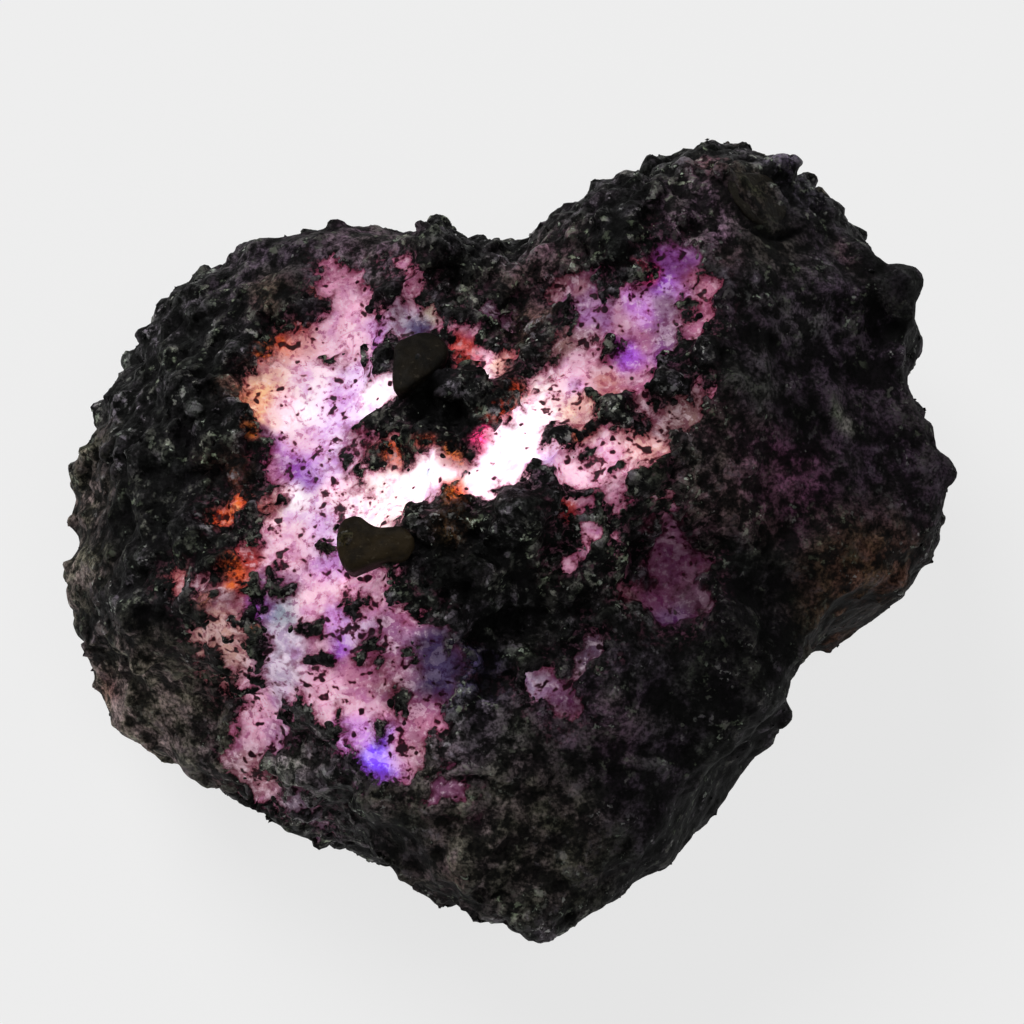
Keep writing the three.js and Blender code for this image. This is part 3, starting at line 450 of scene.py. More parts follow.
def inside(x, y, chains):
    """How far each place lies inside the union of chains of discs; below zero is outside."""
    most = np.full(len(x), -9.0)
    for chain in chains:
        for i in range(max(1, len(chain) - 1)):
            ax, ay, ar = chain[i]
            bx, by, br = chain[min(i + 1, len(chain) - 1)]
            sx, sy = bx - ax, by - ay
            long = max(sx * sx + sy * sy, 1e-9)
            t = np.clip(((x - ax) * sx + (y - ay) * sy) / long, 0.0, 1.0)
            away = np.hypot(x - ax - t * sx, y - ay - t * sy)
            most = np.maximum(most, ar + t * (br - ar) - away)
    return most


def straight(x, y, corners):
    """How far each place lies inside a convex outline with straight sides, given clockwise."""
    least = np.full(len(x), 9.0)
    for i, (ax, ay) in enumerate(corners):
        bx, by = corners[(i + 1) % len(corners)]
        along = math.hypot(bx - ax, by - ay)
        least = np.minimum(least, ((by - ay) * (x - ax) - (bx - ax) * (y - ay)) / along)
    return least


def blended(x, y, marks, start_colour, start_weight):
    """Colours mixed from marks by nearness, and the last number of each mark with them."""
    total = np.full(len(x), start_weight)
    colour = np.tile(np.array(start_colour) * start_weight, (len(x), 1))
    extra = np.zeros(len(x))
    for mx, my, reach, mark_colour, amount in marks:
        weight = np.exp(-((x - mx) ** 2 + (y - my) ** 2) / (reach * reach)) / reach
        total = total + weight
        colour = colour + weight[:, None] * np.array(mark_colour)
        extra = extra + weight * amount
    return colour / total[:, None], extra / total


def bell(x, y, mx, my, reach, steepness=1.0):
    """1 at a mark, falling to 0 about its reach away."""
    return np.exp(-(((x - mx) ** 2 + (y - my) ** 2) / (reach * reach)) ** steepness)


def boulder_at(x, y, share):
    """1 on the black knobs, out to this share of their radius, and 0 away from them."""
    most = np.zeros(len(x))
    for mx, my, radius in BOULDERS:
        most = np.maximum(most, bell(x, y, mx, my, share * radius, 3.0))
    return most


def smooth_at(x, y, up):
    smooth = np.zeros(len(x))
    for mx, my, reach, amount in SMOOTH:
        smooth = np.maximum(smooth, amount * bell(x, y, mx, my, reach, 2.0))
    return smooth * smoothstep(-0.9, -0.5, up)


def bare_at(x, y, up):
    """How far in millimetres each place lies inside bare crystal, before its edge is torn."""
    bare = np.minimum(inside(x, y, WINDOWS), -inside(x, y, ISLANDS))
    bare = np.minimum(bare, -inside(x, y, [[boulder] for boulder in BOULDERS]))
    return np.minimum(bare, (up - 0.25) * 6.0)


def fields_at(points, normals):
    """Everything that the looks need to know about each place on the stone."""
    bent = points + warp_at(points, 1.3, 0.35) + warp_at(points, 0.5, 0.14, 31.7)
    x, y = bent[:, 0], bent[:, 1]
    up = normals[:, 2]
    whole = bare_at(x, y, up)
    tint, glow = blended(x, y, TINTS, PALE_PINK, 0.02)
    uneven = 1.1 * noise_at(points, 1.5, 6.6)
    for mx, my, mz, reach, colour in GLIMPSES:
        place = reach - 0.2 + uneven - np.linalg.norm(bent - np.array((mx, my, mz)), axis=1) * 0.8
        nearer = (place > whole) & (place > -1.2)
        whole = np.where(nearer, place, whole)
        tint = np.where(nearer[:, None], 0.6 * np.array(colour), tint)
        glow = np.where(nearer, -0.3, glow)
    _, grain, _ = cells_at(points, 0.8, 2.7)
    _, crumb, _ = cells_at(points, 0.45, 8.1)
    ragged = np.clip(1.0 - np.abs(whole) / 1.6, 0.1, 1.0)
    torn = 0.7 * (grain - 0.5) + 0.5 * (crumb - 0.5) + 0.3 * fractal_at(points, 1.1, 3, 4.4)
    whole = np.maximum(whole, 2.0 * straight(points[:, 0], points[:, 1], WHITE_FACET))
    for mx, my, reach in CLEAN:
        ragged = ragged * (1.0 - 0.9 * bell(x, y, mx, my, reach, 2.0))
    ragged = ragged * (1.0 - 0.6 * boulder_at(x, y, 1.1))
    bare = whole + torn * ragged + WIDER

    # The crust's colour part by part, then painted shade on the steep sides and in the cracks, then the black of the
    # boulders.
    tone_and_shade = np.tile(np.array(CRUST), (len(points), 1))
    for mx, my, reach, colour, strength in CRUST_PATCHES:
        share = strength * bell(x, y, mx, my, reach, 1.5) * smoothstep(-0.9, -0.5, up)
        tone_and_shade = tone_and_shade + share[:, None] * (np.array(colour) - tone_and_shade)
    # Painted shade: the steep sides are darkened, except at the far left.
    steep = smoothstep(0.55, 0.0, up) * smoothstep(-15.5, -12.0, x)
    tone_and_shade = tone_and_shade * (1.0 - (1.0 - SIDE_SHADE) * steep)[:, None]
    share = 0.85 * boulder_at(x, y, 1.15) * smoothstep(-0.5, 0.0, up)
    tone_and_shade = tone_and_shade + share[:, None] * (np.array(BOULDER_BLACK) - tone_and_shade)
    # Painted shade in the cracks.
    tone_and_shade = tone_and_shade * (1.0 - 0.9 * smoothstep(-0.15, 0.12, inside(x, y, GROOVES)))[:, None]
    leak = np.array(HAZE) + 0.22 * tint * np.array((1.0, 0.7, 0.9))
    leaking = np.zeros(len(points))
    for mx, my, reach, colour in LEAKS:
        share = bell(x, y, mx, my, reach, 1.5) * smoothstep(0.0, 0.3, up)
        leak = leak + share[:, None] * (np.array(colour) - leak)
        leaking = np.maximum(leaking, share)
    return {"bare": np.clip(bare, -3.0, 3.0), "haze": smoothstep(-1.5, 0.3, whole), "tint": tint, "glow": glow,
            "tone_and_shade": tone_and_shade, "leak": leak, "leaking": leaking, "smooth": smooth_at(x, y, up)}


# ---------------------------------------------------------------- grains
def ball(splits):
    """Vertices and triangles of an icosphere of radius 1."""
    shape = bmesh.new()
    bmesh.ops.create_icosphere(shape, subdivisions=splits, radius=1.0)
    vertices = np.array([tuple(v.co) for v in shape.verts])
    triangles = np.array([[v.index for v in f.verts] for f in shape.faces])
    shape.free()
    return vertices, triangles


def turns(random, count):
    """Random rotations."""
    w, x, y, z = unit(random.normal(size=(count, 4))).T
    rows = [1 - 2 * (y * y + z * z), 2 * (x * y - z * w), 2 * (x * z + y * w),
            2 * (x * y + z * w), 1 - 2 * (x * x + z * z), 2 * (y * z - x * w),
            2 * (x * z - y * w), 2 * (y * z + x * w), 1 - 2 * (x * x + y * y)]
    return np.stack(rows, 1).reshape(-1, 3, 3)


def spots(random, count, points, faces, wanted):
    """Places on a surface, more of them where wanted is high: a vertex nearby, the place and its normal."""
    a, b, c = points[faces[:, 0]], points[faces[:, 1]], points[faces[:, 2]]
    across = np.cross(b - a, c - a)
    odds = np.linalg.norm(across, axis=1) * wanted[faces].mean(1)
    chosen = random.choice(len(faces), count, p=odds / odds.sum())
    u, v = random.random((2, count, 1))
    over = (u + v > 1)[:, 0]
    u[over], v[over] = 1 - u[over], 1 - v[over]
    places = a[chosen] + u * (b - a)[chosen] + v * (c - a)[chosen]
    return faces[chosen, 0], places, unit(across[chosen])


def grains_on(random, places, facing, radius, splits, rough, slim, sink):
    """Angular grains set into a surface, as one mesh: balls with flat sides cut off, roughened and squeezed.

    slim is the least width as a share of the radius.
    """
    vertices, triangles = ball(splits)
    count = len(places)
    sides = unit(random.normal(size=(count, CUTS, 3)))
    cut = random.uniform(0.55, 0.95, (count, CUTS, 1)) / np.maximum(sides @ vertices.T, 0.05)
    shapes = vertices[None] * np.minimum(cut.min(1), BLUNT)[:, :, None]
    shapes = shapes * random.uniform(1.0 - rough, 1.0, (count, len(vertices), 1))
    shapes = shapes * random.uniform(slim, 1.0, (count, 1, 3)) * radius[:, None, None]
    shapes = np.einsum("nij,nkj->nki", turns(random, count), shapes)
    shapes = shapes + (places - facing * (radius * sink)[:, None])[:, None, :]
    faces = triangles[None] + len(vertices) * np.arange(count)[:, None, None]
    return shapes.reshape(-1, 3), faces.reshape(-1, 3), len(vertices)


# ---------------------------------------------------------------- stone
def boulder_knobs(random, coarse, coarse_faces):
    """Each boulder as a large knob with smaller ones around it: places, normals, radii and depths."""
    tree = BVHTree.FromPolygons(coarse.tolist(), coarse_faces.tolist())
    knobs = []
    for x, y, size in BOULDERS:
        knobs.append((x, y, 1.1 * size, 0.35))
        for angle in random.uniform(0.0, 2.0 * math.pi, BOULDER_BUMPS):
            away = size * random.uniform(0.3, 0.85)
            knobs.append((x + away * math.cos(angle), y + away * math.sin(angle), size * random.uniform(0.3, 0.5), -0.1))
    hits = [tree.ray_cast(Vector((x, y, 60.0)), Vector((0.0, 0.0, -1.0))) for x, y, _, _ in knobs]
    found = [(tuple(hit[0]), tuple(hit[1]), knob[2], knob[3]) for hit, knob in zip(hits, knobs) if hit[0]]
    places, facing, radius, sink = zip(*found)
    return np.array(places), np.array(facing), np.array(radius), np.array(sink)


def fused_stone(random):
    """The CAD stone with more knobs of crust, all fused into one even, fine mesh. In millimetres."""
    coarse, coarse_faces = mesh_arrays(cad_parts[NODE].data)
    coarse = coarse / MM
    up = unit(np.cross(coarse[coarse_faces[:, 1]] - coarse[coarse_faces[:, 0]],
                       coarse[coarse_faces[:, 2]] - coarse[coarse_faces[:, 0]]))
    vertex_up = np.zeros(len(coarse))
    vertex_up[coarse_faces] = up[:, 2, None]
    x, y, z = coarse.T
    crusted = smoothstep(0.0, -0.5, bare_at(x, y, vertex_up)) * smoothstep(0.6, 1.2, z)
    wanted = crusted * (1.0 - 0.95 * smooth_at(x, y, vertex_up)) + 1e-6
    _, places, facing = spots(random, KNOBS, coarse, coarse_faces, wanted)
    radius = KNOB_LEAST + (KNOB_MOST - KNOB_LEAST) * random.random(KNOBS) ** 2
    large_places, large_facing, large_radius, large_sink = boulder_knobs(random, coarse, coarse_faces)
    places = np.concatenate([places, large_places])
    facing = np.concatenate([facing, large_facing])
    radius = np.concatenate([radius, large_radius])
    sink = np.concatenate([np.full(KNOBS, 0.15), large_sink])
    knob_points, knob_faces, _ = grains_on(random, places, facing, radius, 2, 0.08, 0.7, sink)
    points = np.concatenate([coarse, knob_points])
    faces = np.concatenate([coarse_faces, knob_faces + len(coarse)])

    work = bpy.data.objects.new("work", new_mesh("work", points, faces))
    bpy.context.scene.collection.objects.link(work)
    weld = work.modifiers.new("weld", "WELD")
    weld.merge_threshold = 0.001
    remesh = work.modifiers.new("remesh", "REMESH")
    remesh.mode = "VOXEL"
    remesh.voxel_size = VOXEL
    fine = bpy.data.meshes.new_from_object(work.evaluated_get(bpy.context.evaluated_depsgraph_get()))
    points, faces = mesh_arrays(fine)
    bpy.data.objects.remove(work)
    bpy.data.meshes.remove(fine)
    return smoothed(points, faces, 1), faces


def relief(points, fields):
    """How far the surface stands out from the fused stone."""
    crust = smoothstep(0.10, -0.12, fields["bare"])
    x, y = points[:, 0], points[:, 1]
    rough = crust * (1.0 - fields["smooth"]) * (1.0 - 0.65 * boulder_at(x, y, 1.0))
    bent = points + warp_at(points, 0.9, 0.12, 9.1)
    chunk, _, chunk_slope = cells_at(bent, 1.7, 1.3)
    crag, _, crag_slope = cells_at(bent, 0.95, 7.7)
    grit, _, grit_slope = cells_at(points, 0.5, 5.5)
    height = 0.24 * chunk_slope + 0.26 * crag_slope
    height = height + 0.14 * np.minimum(2.5 * chunk, 1.0) + 0.10 * np.minimum(2.5 * crag, 1.0)
    height = (0.12 + 0.88 * rough) * (height - 0.12)
    height = height + (0.08 + 0.92 * rough) * (0.13 * grit_slope + 0.03 * np.minimum(2.0 * grit, 1.0))
    height = height + 0.04 * fractal_at(points, 0.6, 3, 17.0)
    height = height + 0.12 * noise_at(points, 2.2, 3.3)
    height = height * (0.3 + 0.7 * crust) + 0.36 * (crust - 0.5) - 0.30
    for mx, my, reach, raised in RESHAPED:
        height = height + raised * bell(x, y, mx, my, reach)
    return height - 0.4 * smoothstep(-0.1, 0.2, inside(x, y, GROOVES))


def peaks(points, faces, normals):
    """How far each place stands out from its surroundings: above zero on knobs, below it in crevices."""
    return 0.8 * ((points - smoothed(points, faces, 16)) * normals).sum(1)


random = np.random.default_rng(SEED)
points, faces = fused_stone(random)
normals = normals_of(smoothed(points, faces, 4), faces)
fields = fields_at(points, normals)
points = smoothed(points + normals * relief(points, fields)[:, None], faces, 1, 0.2)
thorns = np.maximum(peaks(points, faces, normals) - THORN, 0.0)
points = smoothed(points - normals * thorns[:, None], faces, 1, 0.1)
points[:, 2] = np.maximum(points[:, 2], 0.0)
normals = normals_of(points, faces)
fields["peak"] = peaks(points, faces, normals)
stone = new_piece("sapphire_stone", points, faces)
stone.data.shade_smooth()
for name, values in fields.items():
    store(stone.data, name, values)
store(stone.data, "shade", np.full(len(points), 0.5))
store(stone.data, "chip", np.zeros(len(points)))


def scatter(name, count, wanted, radius, splits, rough, slim, sink, chip, peak=0.03):
    """A piece of many small grains set into the stone."""
    at, places, facing = spots(random, count, points, faces, wanted)
    grain_points, grain_faces, each = grains_on(random, places, facing, radius, splits, rough, slim, sink)
    grain_points[:, 2] = np.maximum(grain_points[:, 2], 0.0)
    piece = new_piece(name, grain_points, grain_faces)
    for field, values in fields.items():
        store(piece.data, field, np.repeat(values[at], each, axis=0))
    # Each grain counts as standing out by peak, which gives it painted highlights and glints.
    piece.data.attributes["peak"].data.foreach_set("value", np.full(each * count, peak, np.float32))
    store(piece.data, "shade", np.repeat(random.random(count), each))
    store(piece.data, "chip", np.full(each * count, chip))
    return piece


clear = smoothstep(0.3, 0.6, points[:, 2])
for outline in (PLATE, BROWN_LUMP, OLIVE_PLATE):
    mx, my = np.mean(outline, axis=0)
    clear = clear * (1.0 - bell(points[:, 0], points[:, 1], mx, my, 1.3, 3.0) * (normals[:, 2] > 0.0))
crusted = smoothstep(0.0, -0.25, fields["bare"])
patchy = smoothstep(-0.2, 0.5, noise_at(points, 1.6, 12.5))
grain_wanted = 1e-9 + clear * (crusted * (1.0 - 0.95 * fields["smooth"]) * (0.25 + patchy))
grains = scatter("crust_grains", 5500, grain_wanted, 0.07 + 0.26 * random.random(5500) ** 2.0,
                 1, 0.25, 0.6, 0.35, 1.0)
at_edge = np.exp(-((fields["bare"] + 0.22) / 0.2) ** 2)
for mx, my, reach in CLEAN:
    at_edge = at_edge * (1.0 - bell(points[:, 0], points[:, 1], mx, my, reach, 2.0))
edge_wanted = clear * at_edge * (0.1 + patchy) + 1e-9
edge_grains = scatter("edge_grains", 1000, edge_wanted, 0.08 + 0.28 * random.random(1000) ** 2.2,
                      2, 0.15, 0.6, 0.3, 1.0)
flake_wanted = clear * crusted * (1.0 - 0.5 * fields["smooth"]) * smoothstep(-0.02, 0.06, fields["peak"])
flakes = scatter("mica_flakes", 700, flake_wanted + 1e-9, 0.14 + 0.2 * random.random(700) ** 2,
                 1, 0.4, 0.3, 0.15, 2.0)


# ---------------------------------------------------------------- plates
def rounded(outline, rounds=1):
    """An outline with its corners cut, again and again."""
    corners = np.array(outline)
    for _ in range(rounds):
        after = np.roll(corners, -1, axis=0)
        corners = np.stack([0.78 * corners + 0.22 * after, 0.22 * corners + 0.78 * after], 1).reshape(-1, 2)
    return corners


def plate_piece(name, outline, thick, sunk, uneven, tree):
    """A slab that lies on the stone along the surface under it, pressed in and bumpy by these amounts."""
    edge = rounded(outline)
    middle = edge.mean(0)
    samples = np.concatenate([middle + (edge - middle) * share for share in (0.3, 0.65, 0.95)])
    hits = [tree.ray_cast(Vector((x, y, 60.0)), Vector((0.0, 0.0, -1.0)))[0] for x, y in samples]
    found = np.array([tuple(hit) for hit in hits])
    slope = np.linalg.lstsq(np.c_[found[:, :2] - middle, np.ones(len(found))], found[:, 2], rcond=None)[0]
    proud = found[:, 2] - slope[2] - (found[:, :2] - middle) @ slope[:2]
    lift = max(0.0, 0.8 * proud.max() - 0.5 * thick) - sunk
    count = len(edge)
    rings = []
    for share, height in ((0.9, -1.7), (1.0, -0.55), (1.02, -0.12), (0.97, 0.08), (0.88, 0.15), (0.72, 0.18),
                          (0.5, 0.20), (0.25, 0.21)):
        flat = middle + (edge - middle) * share
        level = slope[2] + lift + (flat - middle) @ slope[:2]
        rings.append(np.c_[flat, level + thick * (0.5 + height)])
    ends = [np.array([[*middle, slope[2] + lift - 1.2 * thick]]), np.array([[*middle, slope[2] + lift + 0.7 * thick]])]
    points = np.concatenate(rings + ends)
    points[:, 2] += uneven * (noise_at(points, 0.9, 21.0) + 0.5 * noise_at(points, 0.35, 5.0))
    faces = []
    for i in range(count):
        j = (i + 1) % count
        faces.append((len(points) - 2, j, i))
        for ring in range(len(rings) - 1):
            low, high = ring * count, (ring + 1) * count
            faces.append((low + i, low + j, high + j))
            faces.append((low + i, high + j, high + i))
        last = (len(rings) - 1) * count
        faces.append((last + i, last + j, len(points) - 1))
    piece = new_piece(name, points, np.array(faces))
    piece.data.shade_smooth()
    return piece


tree = BVHTree.FromPolygons(points.tolist(), faces.tolist())
plate = plate_piece("smooth_plate", PLATE, PLATE_THICK, 0.0, 0.06, tree)
brown_lump = plate_piece("brown_lump", BROWN_LUMP, BROWN_LUMP_THICK, 0.1, 0.16, tree)
olive_plate = plate_piece("olive_plate", OLIVE_PLATE, OLIVE_PLATE_THICK, 0.42, 0.08, tree)

# ---------------------------------------------------------------- materials


class Shader:
    """Builds the nodes of one material. Sockets and plain values can be given alike."""

    def __init__(self, name):
        self.material = bpy.data.materials.new(name)
        self.material.use_nodes = True
        self.tree = self.material.node_tree
        self.tree.nodes.clear()

    def put(self, socket, value):
        if isinstance(value, bpy.types.NodeSocket):
            self.tree.links.new(value, socket)
        elif isinstance(value, tuple) and len(value) == 3 and socket.type == "RGBA":
            socket.default_value = (*value, 1.0)
        else:
            socket.default_value = value

    def node(self, kind, settings=None, **inputs):
        node = self.tree.nodes.new("ShaderNode" + kind)
        for key, value in (settings or {}).items():
            setattr(node, key, value)
        for key, value in inputs.items():
            self.put(node.inputs[key.replace("_", " ")], value)
        return node

    def math(self, operation, *values, clamp=False):
        node = self.tree.nodes.new("ShaderNodeMath")
        node.operation = operation
        node.use_clamp = clamp
        for socket, value in zip(node.inputs, values):
            self.put(socket, value)
        return node.outputs[0]

    def product(self, *values):
        result = values[0]
        for value in values[1:]:
            result = self.math("MULTIPLY", result, value)
        return result

    def less(self, value):
        """One minus the value."""
        return self.math("SUBTRACT", 1.0, value)

    def vector(self, operation, *values):
        node = self.tree.nodes.new("ShaderNodeVectorMath")
        node.operation = operation
        for socket, value in zip(node.inputs, values):
            self.put(socket, value)
        return node.outputs["Value" if operation == "DOT_PRODUCT" else "Vector"]

    def scaled(self, vector, factor):
        node = self.tree.nodes.new("ShaderNodeVectorMath")
        node.operation = "SCALE"
        self.put(node.inputs[0], vector)
        self.put(node.inputs["Scale"], factor)
        return node.outputs[0]

    def mix(self, share, a, b, blend="MIX"):
        node = self.tree.nodes.new("ShaderNodeMix")
        node.data_type = "RGBA"
        node.blend_type = blend
        self.put(node.inputs[0], share)
        self.put(node.inputs[6], a)
        self.put(node.inputs[7], b)
        return node.outputs[2]

    def blend(self, share, a, b):
        node = self.tree.nodes.new("ShaderNodeMix")
        self.put(node.inputs[0], share)
        self.put(node.inputs[2], a)
        self.put(node.inputs[3], b)
        return node.outputs[0]

    def steps(self, low, high, value, to_low=0.0, to_high=1.0):
        node = self.tree.nodes.new("ShaderNodeMapRange")
        node.interpolation_type = "SMOOTHSTEP"
        for socket, given in zip(node.inputs, (value, low, high, to_low, to_high)):
            self.put(socket, given)
        return node.outputs[0]

    def attribute(self, name):
        node = self.tree.nodes.new("ShaderNodeAttribute")
        node.attribute_name = name
        return node

    def number(self, name):
        return self.attribute(name).outputs["Fac"]

    def colour(self, name):
        return self.attribute(name).outputs["Color"]

    def place(self):
        return self.node("TexCoord").outputs["Object"]

    def noise(self, size_mm, detail=2.0, roughness=0.5, place=None, distortion=0.0):
        node = self.node("TexNoise", Scale=1.0 / (size_mm * MM), Detail=detail, Roughness=roughness,
                         Distortion=distortion)
        self.put(node.inputs["Vector"], place or self.place())
        return node.outputs["Fac"]

    def bent_place(self, size_mm, reach_mm):
        node = self.node("TexNoise", Scale=1.0 / (size_mm * MM), Detail=2.0)
        self.put(node.inputs["Vector"], self.place())
        shift = self.vector("SUBTRACT", node.outputs["Color"], (0.5, 0.5, 0.5))
        return self.vector("ADD", self.place(), self.scaled(shift, reach_mm * MM))

    def cells(self, size_mm, place=None, settings=None):
        node = self.node("TexVoronoi", settings, Scale=1.0 / (size_mm * MM))
        self.put(node.inputs["Vector"], place or self.place())
        return node

    def facets(self, size_mm, slope):
        """A height in metres made of tilted planes, one for each cell."""
        place = self.place()
        cell = self.cells(size_mm, place)
        from_middle = self.vector("SUBTRACT", place, cell.outputs["Position"])
        tilt = self.vector("SUBTRACT", cell.outputs["Color"], (0.5, 0.5, 0.5))
        return self.math("MULTIPLY", self.vector("DOT_PRODUCT", from_middle, tilt), slope)

    def finish(self, **inputs):
        shader = self.node("BsdfPrincipled", None, **inputs)
        output = self.tree.nodes.new("ShaderNodeOutputMaterial")
        self.tree.links.new(shader.outputs[0], output.inputs[0])
        return self.material


def specks(s):
    """Specks of crust left on the crystal, in drifts: how much they hide, where they are thick, and their halo."""
    drift = s.steps(0.62, 0.36, s.noise(2.2, 2.0), -0.02, 0.12)
    drift = s.math("ADD", drift, s.steps(0.35, 0.65, s.number("glow"), 0.0, 0.085))
    small = s.math("SUBTRACT", s.noise(0.38, 1.0, 0.4), drift)
    large = s.math("SUBTRACT", s.noise(0.75, 3.0, 0.6), drift)
    cover = s.math("MAXIMUM", s.steps(0.600, 0.650, small), s.steps(0.592, 0.635, large))
    thick = s.math("MAXIMUM", s.steps(0.63, 0.70, small), s.steps(0.62, 0.68, large))
    halo = s.math("MAXIMUM", s.steps(0.52, 0.62, small), s.steps(0.52, 0.60, large))
    return cover, thick, halo


def crust_colour(s, edge):
    """Colour of the crust, with painted shade in its crevices and painted highlights on its knobs; where it has painted
    glints; where dim crystal shows in it; and that crystal's colour.
    """
    peak = s.number("peak")
    smooth = s.number("smooth")
    tone_and_shade = s.colour("tone_and_shade")
    shade = s.math("MULTIPLY", s.math("SUBTRACT", s.number("shade"), 0.5), 0.16)
    fine = s.noise(0.14, 2.0, 0.55)
    body = s.blend(s.math("MULTIPLY", smooth, 0.6), s.noise(0.55, 4.0, 0.62), s.noise(1.4, 3.0, 0.55))
    broad = s.noise(1.9, 3.0, 0.6)
    # Painted light and shade: knob tops come out lighter, and crevices, where the peak falls below zero, near black.
    level = s.math("ADD", s.math("ADD", body, shade), s.math("MULTIPLY", peak, 0.6))
    dark = s.math("MAXIMUM", s.steps(0.58, 0.44, level), s.steps(0.0, -0.22, peak))
    grain = s.steps(0.34, 0.68, s.noise(0.17, 2.0, 0.6), 0.35, 1.9)
    crust = s.mix(s.math("MULTIPLY", dark, 0.92), s.scaled(tone_and_shade, grain), (0.0020, 0.0018, 0.0021))
    grey = s.mix(s.steps(0.42, 0.60, s.noise(2.6, 2.0)), (0.165, 0.155, 0.172), (0.165, 0.182, 0.140))
    grey = s.mix(s.blend(smooth, 0.15, 0.45), grey, tone_and_shade)
    # Grey patches on the high places: partly the crust's own lighter mineral, partly painted highlight.
    grey_patch_and_highlight = s.product(s.steps(0.53, 0.66, level), s.steps(0.38, 0.56, broad), s.steps(0.25, 0.60, fine))
    crust = s.mix(s.math("MULTIPLY", grey_patch_and_highlight, s.blend(smooth, 0.80, 0.45)), crust, grey)
    # Painted highlights: soft grey blobs on the knob tops.
    painted_highlight = s.product(s.steps(0.56, 0.66, s.noise(0.42, 3.0, 0.6)), s.steps(0.44, 0.54, s.noise(1.3, 2.0)),
                     s.steps(-0.06, 0.02, peak), s.blend(smooth, 0.9, 0.25))
    crust = s.mix(painted_highlight, crust, s.scaled(grey, 1.7))
    # Painted glints: small near-white flecks on the knob tops; the same mask also makes them glossier.
    glint = s.product(s.steps(0.61, 0.66, s.noise(0.30, 3.0, 0.6)), s.steps(0.50, 0.60, broad),
                      s.steps(-0.02, 0.04, peak), s.blend(smooth, 1.0, 0.4))
    crust = s.mix(s.math("MULTIPLY", glint, 0.9), crust, (0.40, 0.43, 0.39))
    chunk = s.node("SeparateColor", Color=s.cells(0.6, s.bent_place(0.5, 0.3)).outputs["Color"]).outputs[0]
    crust = s.scaled(crust, s.blend(s.math("MULTIPLY", smooth, 0.7), s.steps(0.15, 1.0, chunk, 0.45, 2.2), 1.0))
    hue = s.mix(s.steps(0.38, 0.62, s.noise(1.1, 3.0, 0.6)), (0.93, 1.02, 0.88), (1.07, 0.97, 1.07))
    crust = s.mix(1.0, crust, hue, "MULTIPLY")
    # Dim crystal that shows between the grains beside a window, and light leaking through the crust there, both given
    # painted glow.
    between = s.steps(0.48, 0.60, s.noise(0.32, 3.0, 0.6))
    haze = s.product(s.number("haze"), between, s.steps(0.08, -0.02, peak))
    leaking = s.product(s.steps(0.1, 0.7, s.number("leaking")), s.steps(-1.2, -0.1, edge),
                        s.steps(0.42, 0.56, s.noise(0.45, 3.0)))
    haze = s.math("MAXIMUM", s.math("MULTIPLY", haze, 0.7), leaking)
    grainy = s.mix(s.steps(0.40, 0.62, s.noise(0.22, 3.0, 0.6)), (0.15, 0.10, 0.12), (1.5, 1.6, 1.4))
    leak = s.mix(1.0, s.colour("leak"), grainy, "MULTIPLY")
    return crust, glint, s.math("MULTIPLY", haze, s.less(s.math("MINIMUM", s.number("chip"), 1.0))), leak


def crystal_colour(s, edge):
    """Colour of the bare crystal, clean, with painted glow and painted shade along its rim by the crust, and its
    mottling.
    """
    tint = s.colour("tint")
    bright = s.steps(-0.15, 0.0, s.number("glow"), 0.35, 1.0)
    cloud = s.noise(1.1, 3.0, 0.55)
    mottle = s.noise(0.34, 4.0, 0.66)
    chunk = s.node("SeparateColor", Color=s.cells(0.55, s.bent_place(0.4, 0.35)).outputs["Color"]).outputs[0]
    light = s.mix(1.0, s.mix(1.0, tint, (1.35, 1.30, 1.35), "MULTIPLY"), (0.05, 0.04, 0.05), "ADD")
    white = s.mix(0.45, tint, (1.0, 0.80, 0.92))
    deep = s.mix(1.0, tint, (0.68, 0.42, 0.72), "MULTIPLY")
    crystal = s.mix(s.steps(0.50, 0.70, cloud, 0.0, 0.8), tint, light)
    crystal = s.mix(s.steps(0.48, 0.30, cloud, 0.0, 0.8), crystal, deep)
    crystal = s.mix(s.product(s.steps(0.60, 1.0, chunk, 0.0, 0.5), bright), crystal, white)
    crystal = s.mix(s.steps(0.35, 0.0, chunk, 0.0, 0.45), crystal, deep)
    crystal = s.mix(s.product(s.steps(0.52, 0.68, mottle, 0.0, 0.7), bright), crystal, white)
    deeper = s.mix(1.0, tint, (0.52, 0.26, 0.42), "MULTIPLY")
    clear = s.steps(0.2, 0.8, s.number("glow"), 0.9, 0.25)
    crystal = s.mix(s.math("MULTIPLY", s.steps(0.48, 0.36, mottle), clear), crystal, deeper)
    # Fine cracks, and a deep red rim where the crust closes in: painted shade along it, with painted glow where light
    # leaks past the crust.
    crack = s.cells(2.3, s.bent_place(2.4, 0.6), {"feature": "DISTANCE_TO_EDGE"}).outputs["Distance"]
    cracked = s.product(s.steps(0.020, 0.006, crack), s.steps(0.50, 0.62, s.noise(1.1, 2.0)))
    crystal = s.mix(s.math("MULTIPLY", cracked, 0.4), crystal, deeper)
    leaking = s.steps(0.05, 0.6, s.number("leaking"))
    glowing = s.scaled(s.colour("leak"), s.steps(0.38, 0.62, s.noise(0.26, 3.0, 0.6), 0.25, 3.2))
    near_crust = s.mix(s.blend(leaking, 0.15, 0.85), s.mix(1.0, tint, (0.62, 0.30, 0.40), "MULTIPLY"), glowing)
    wide = s.blend(leaking, 0.45, 0.75)
    rim = s.math("MULTIPLY", s.steps(wide, 0.0, edge), s.steps(0.34, 0.58, s.noise(0.6, 3.0, 0.6), 0.45, 0.95))
    crystal = s.mix(rim, crystal, near_crust)
    # Painted shade: the crystal darkens to deep red right at the crust's edge.
    brink = s.mix(1.0, tint, (0.28, 0.08, 0.12), "MULTIPLY")
    return s.mix(s.steps(0.14, 0.02, edge, 0.0, 0.75), crystal, brink), mottle


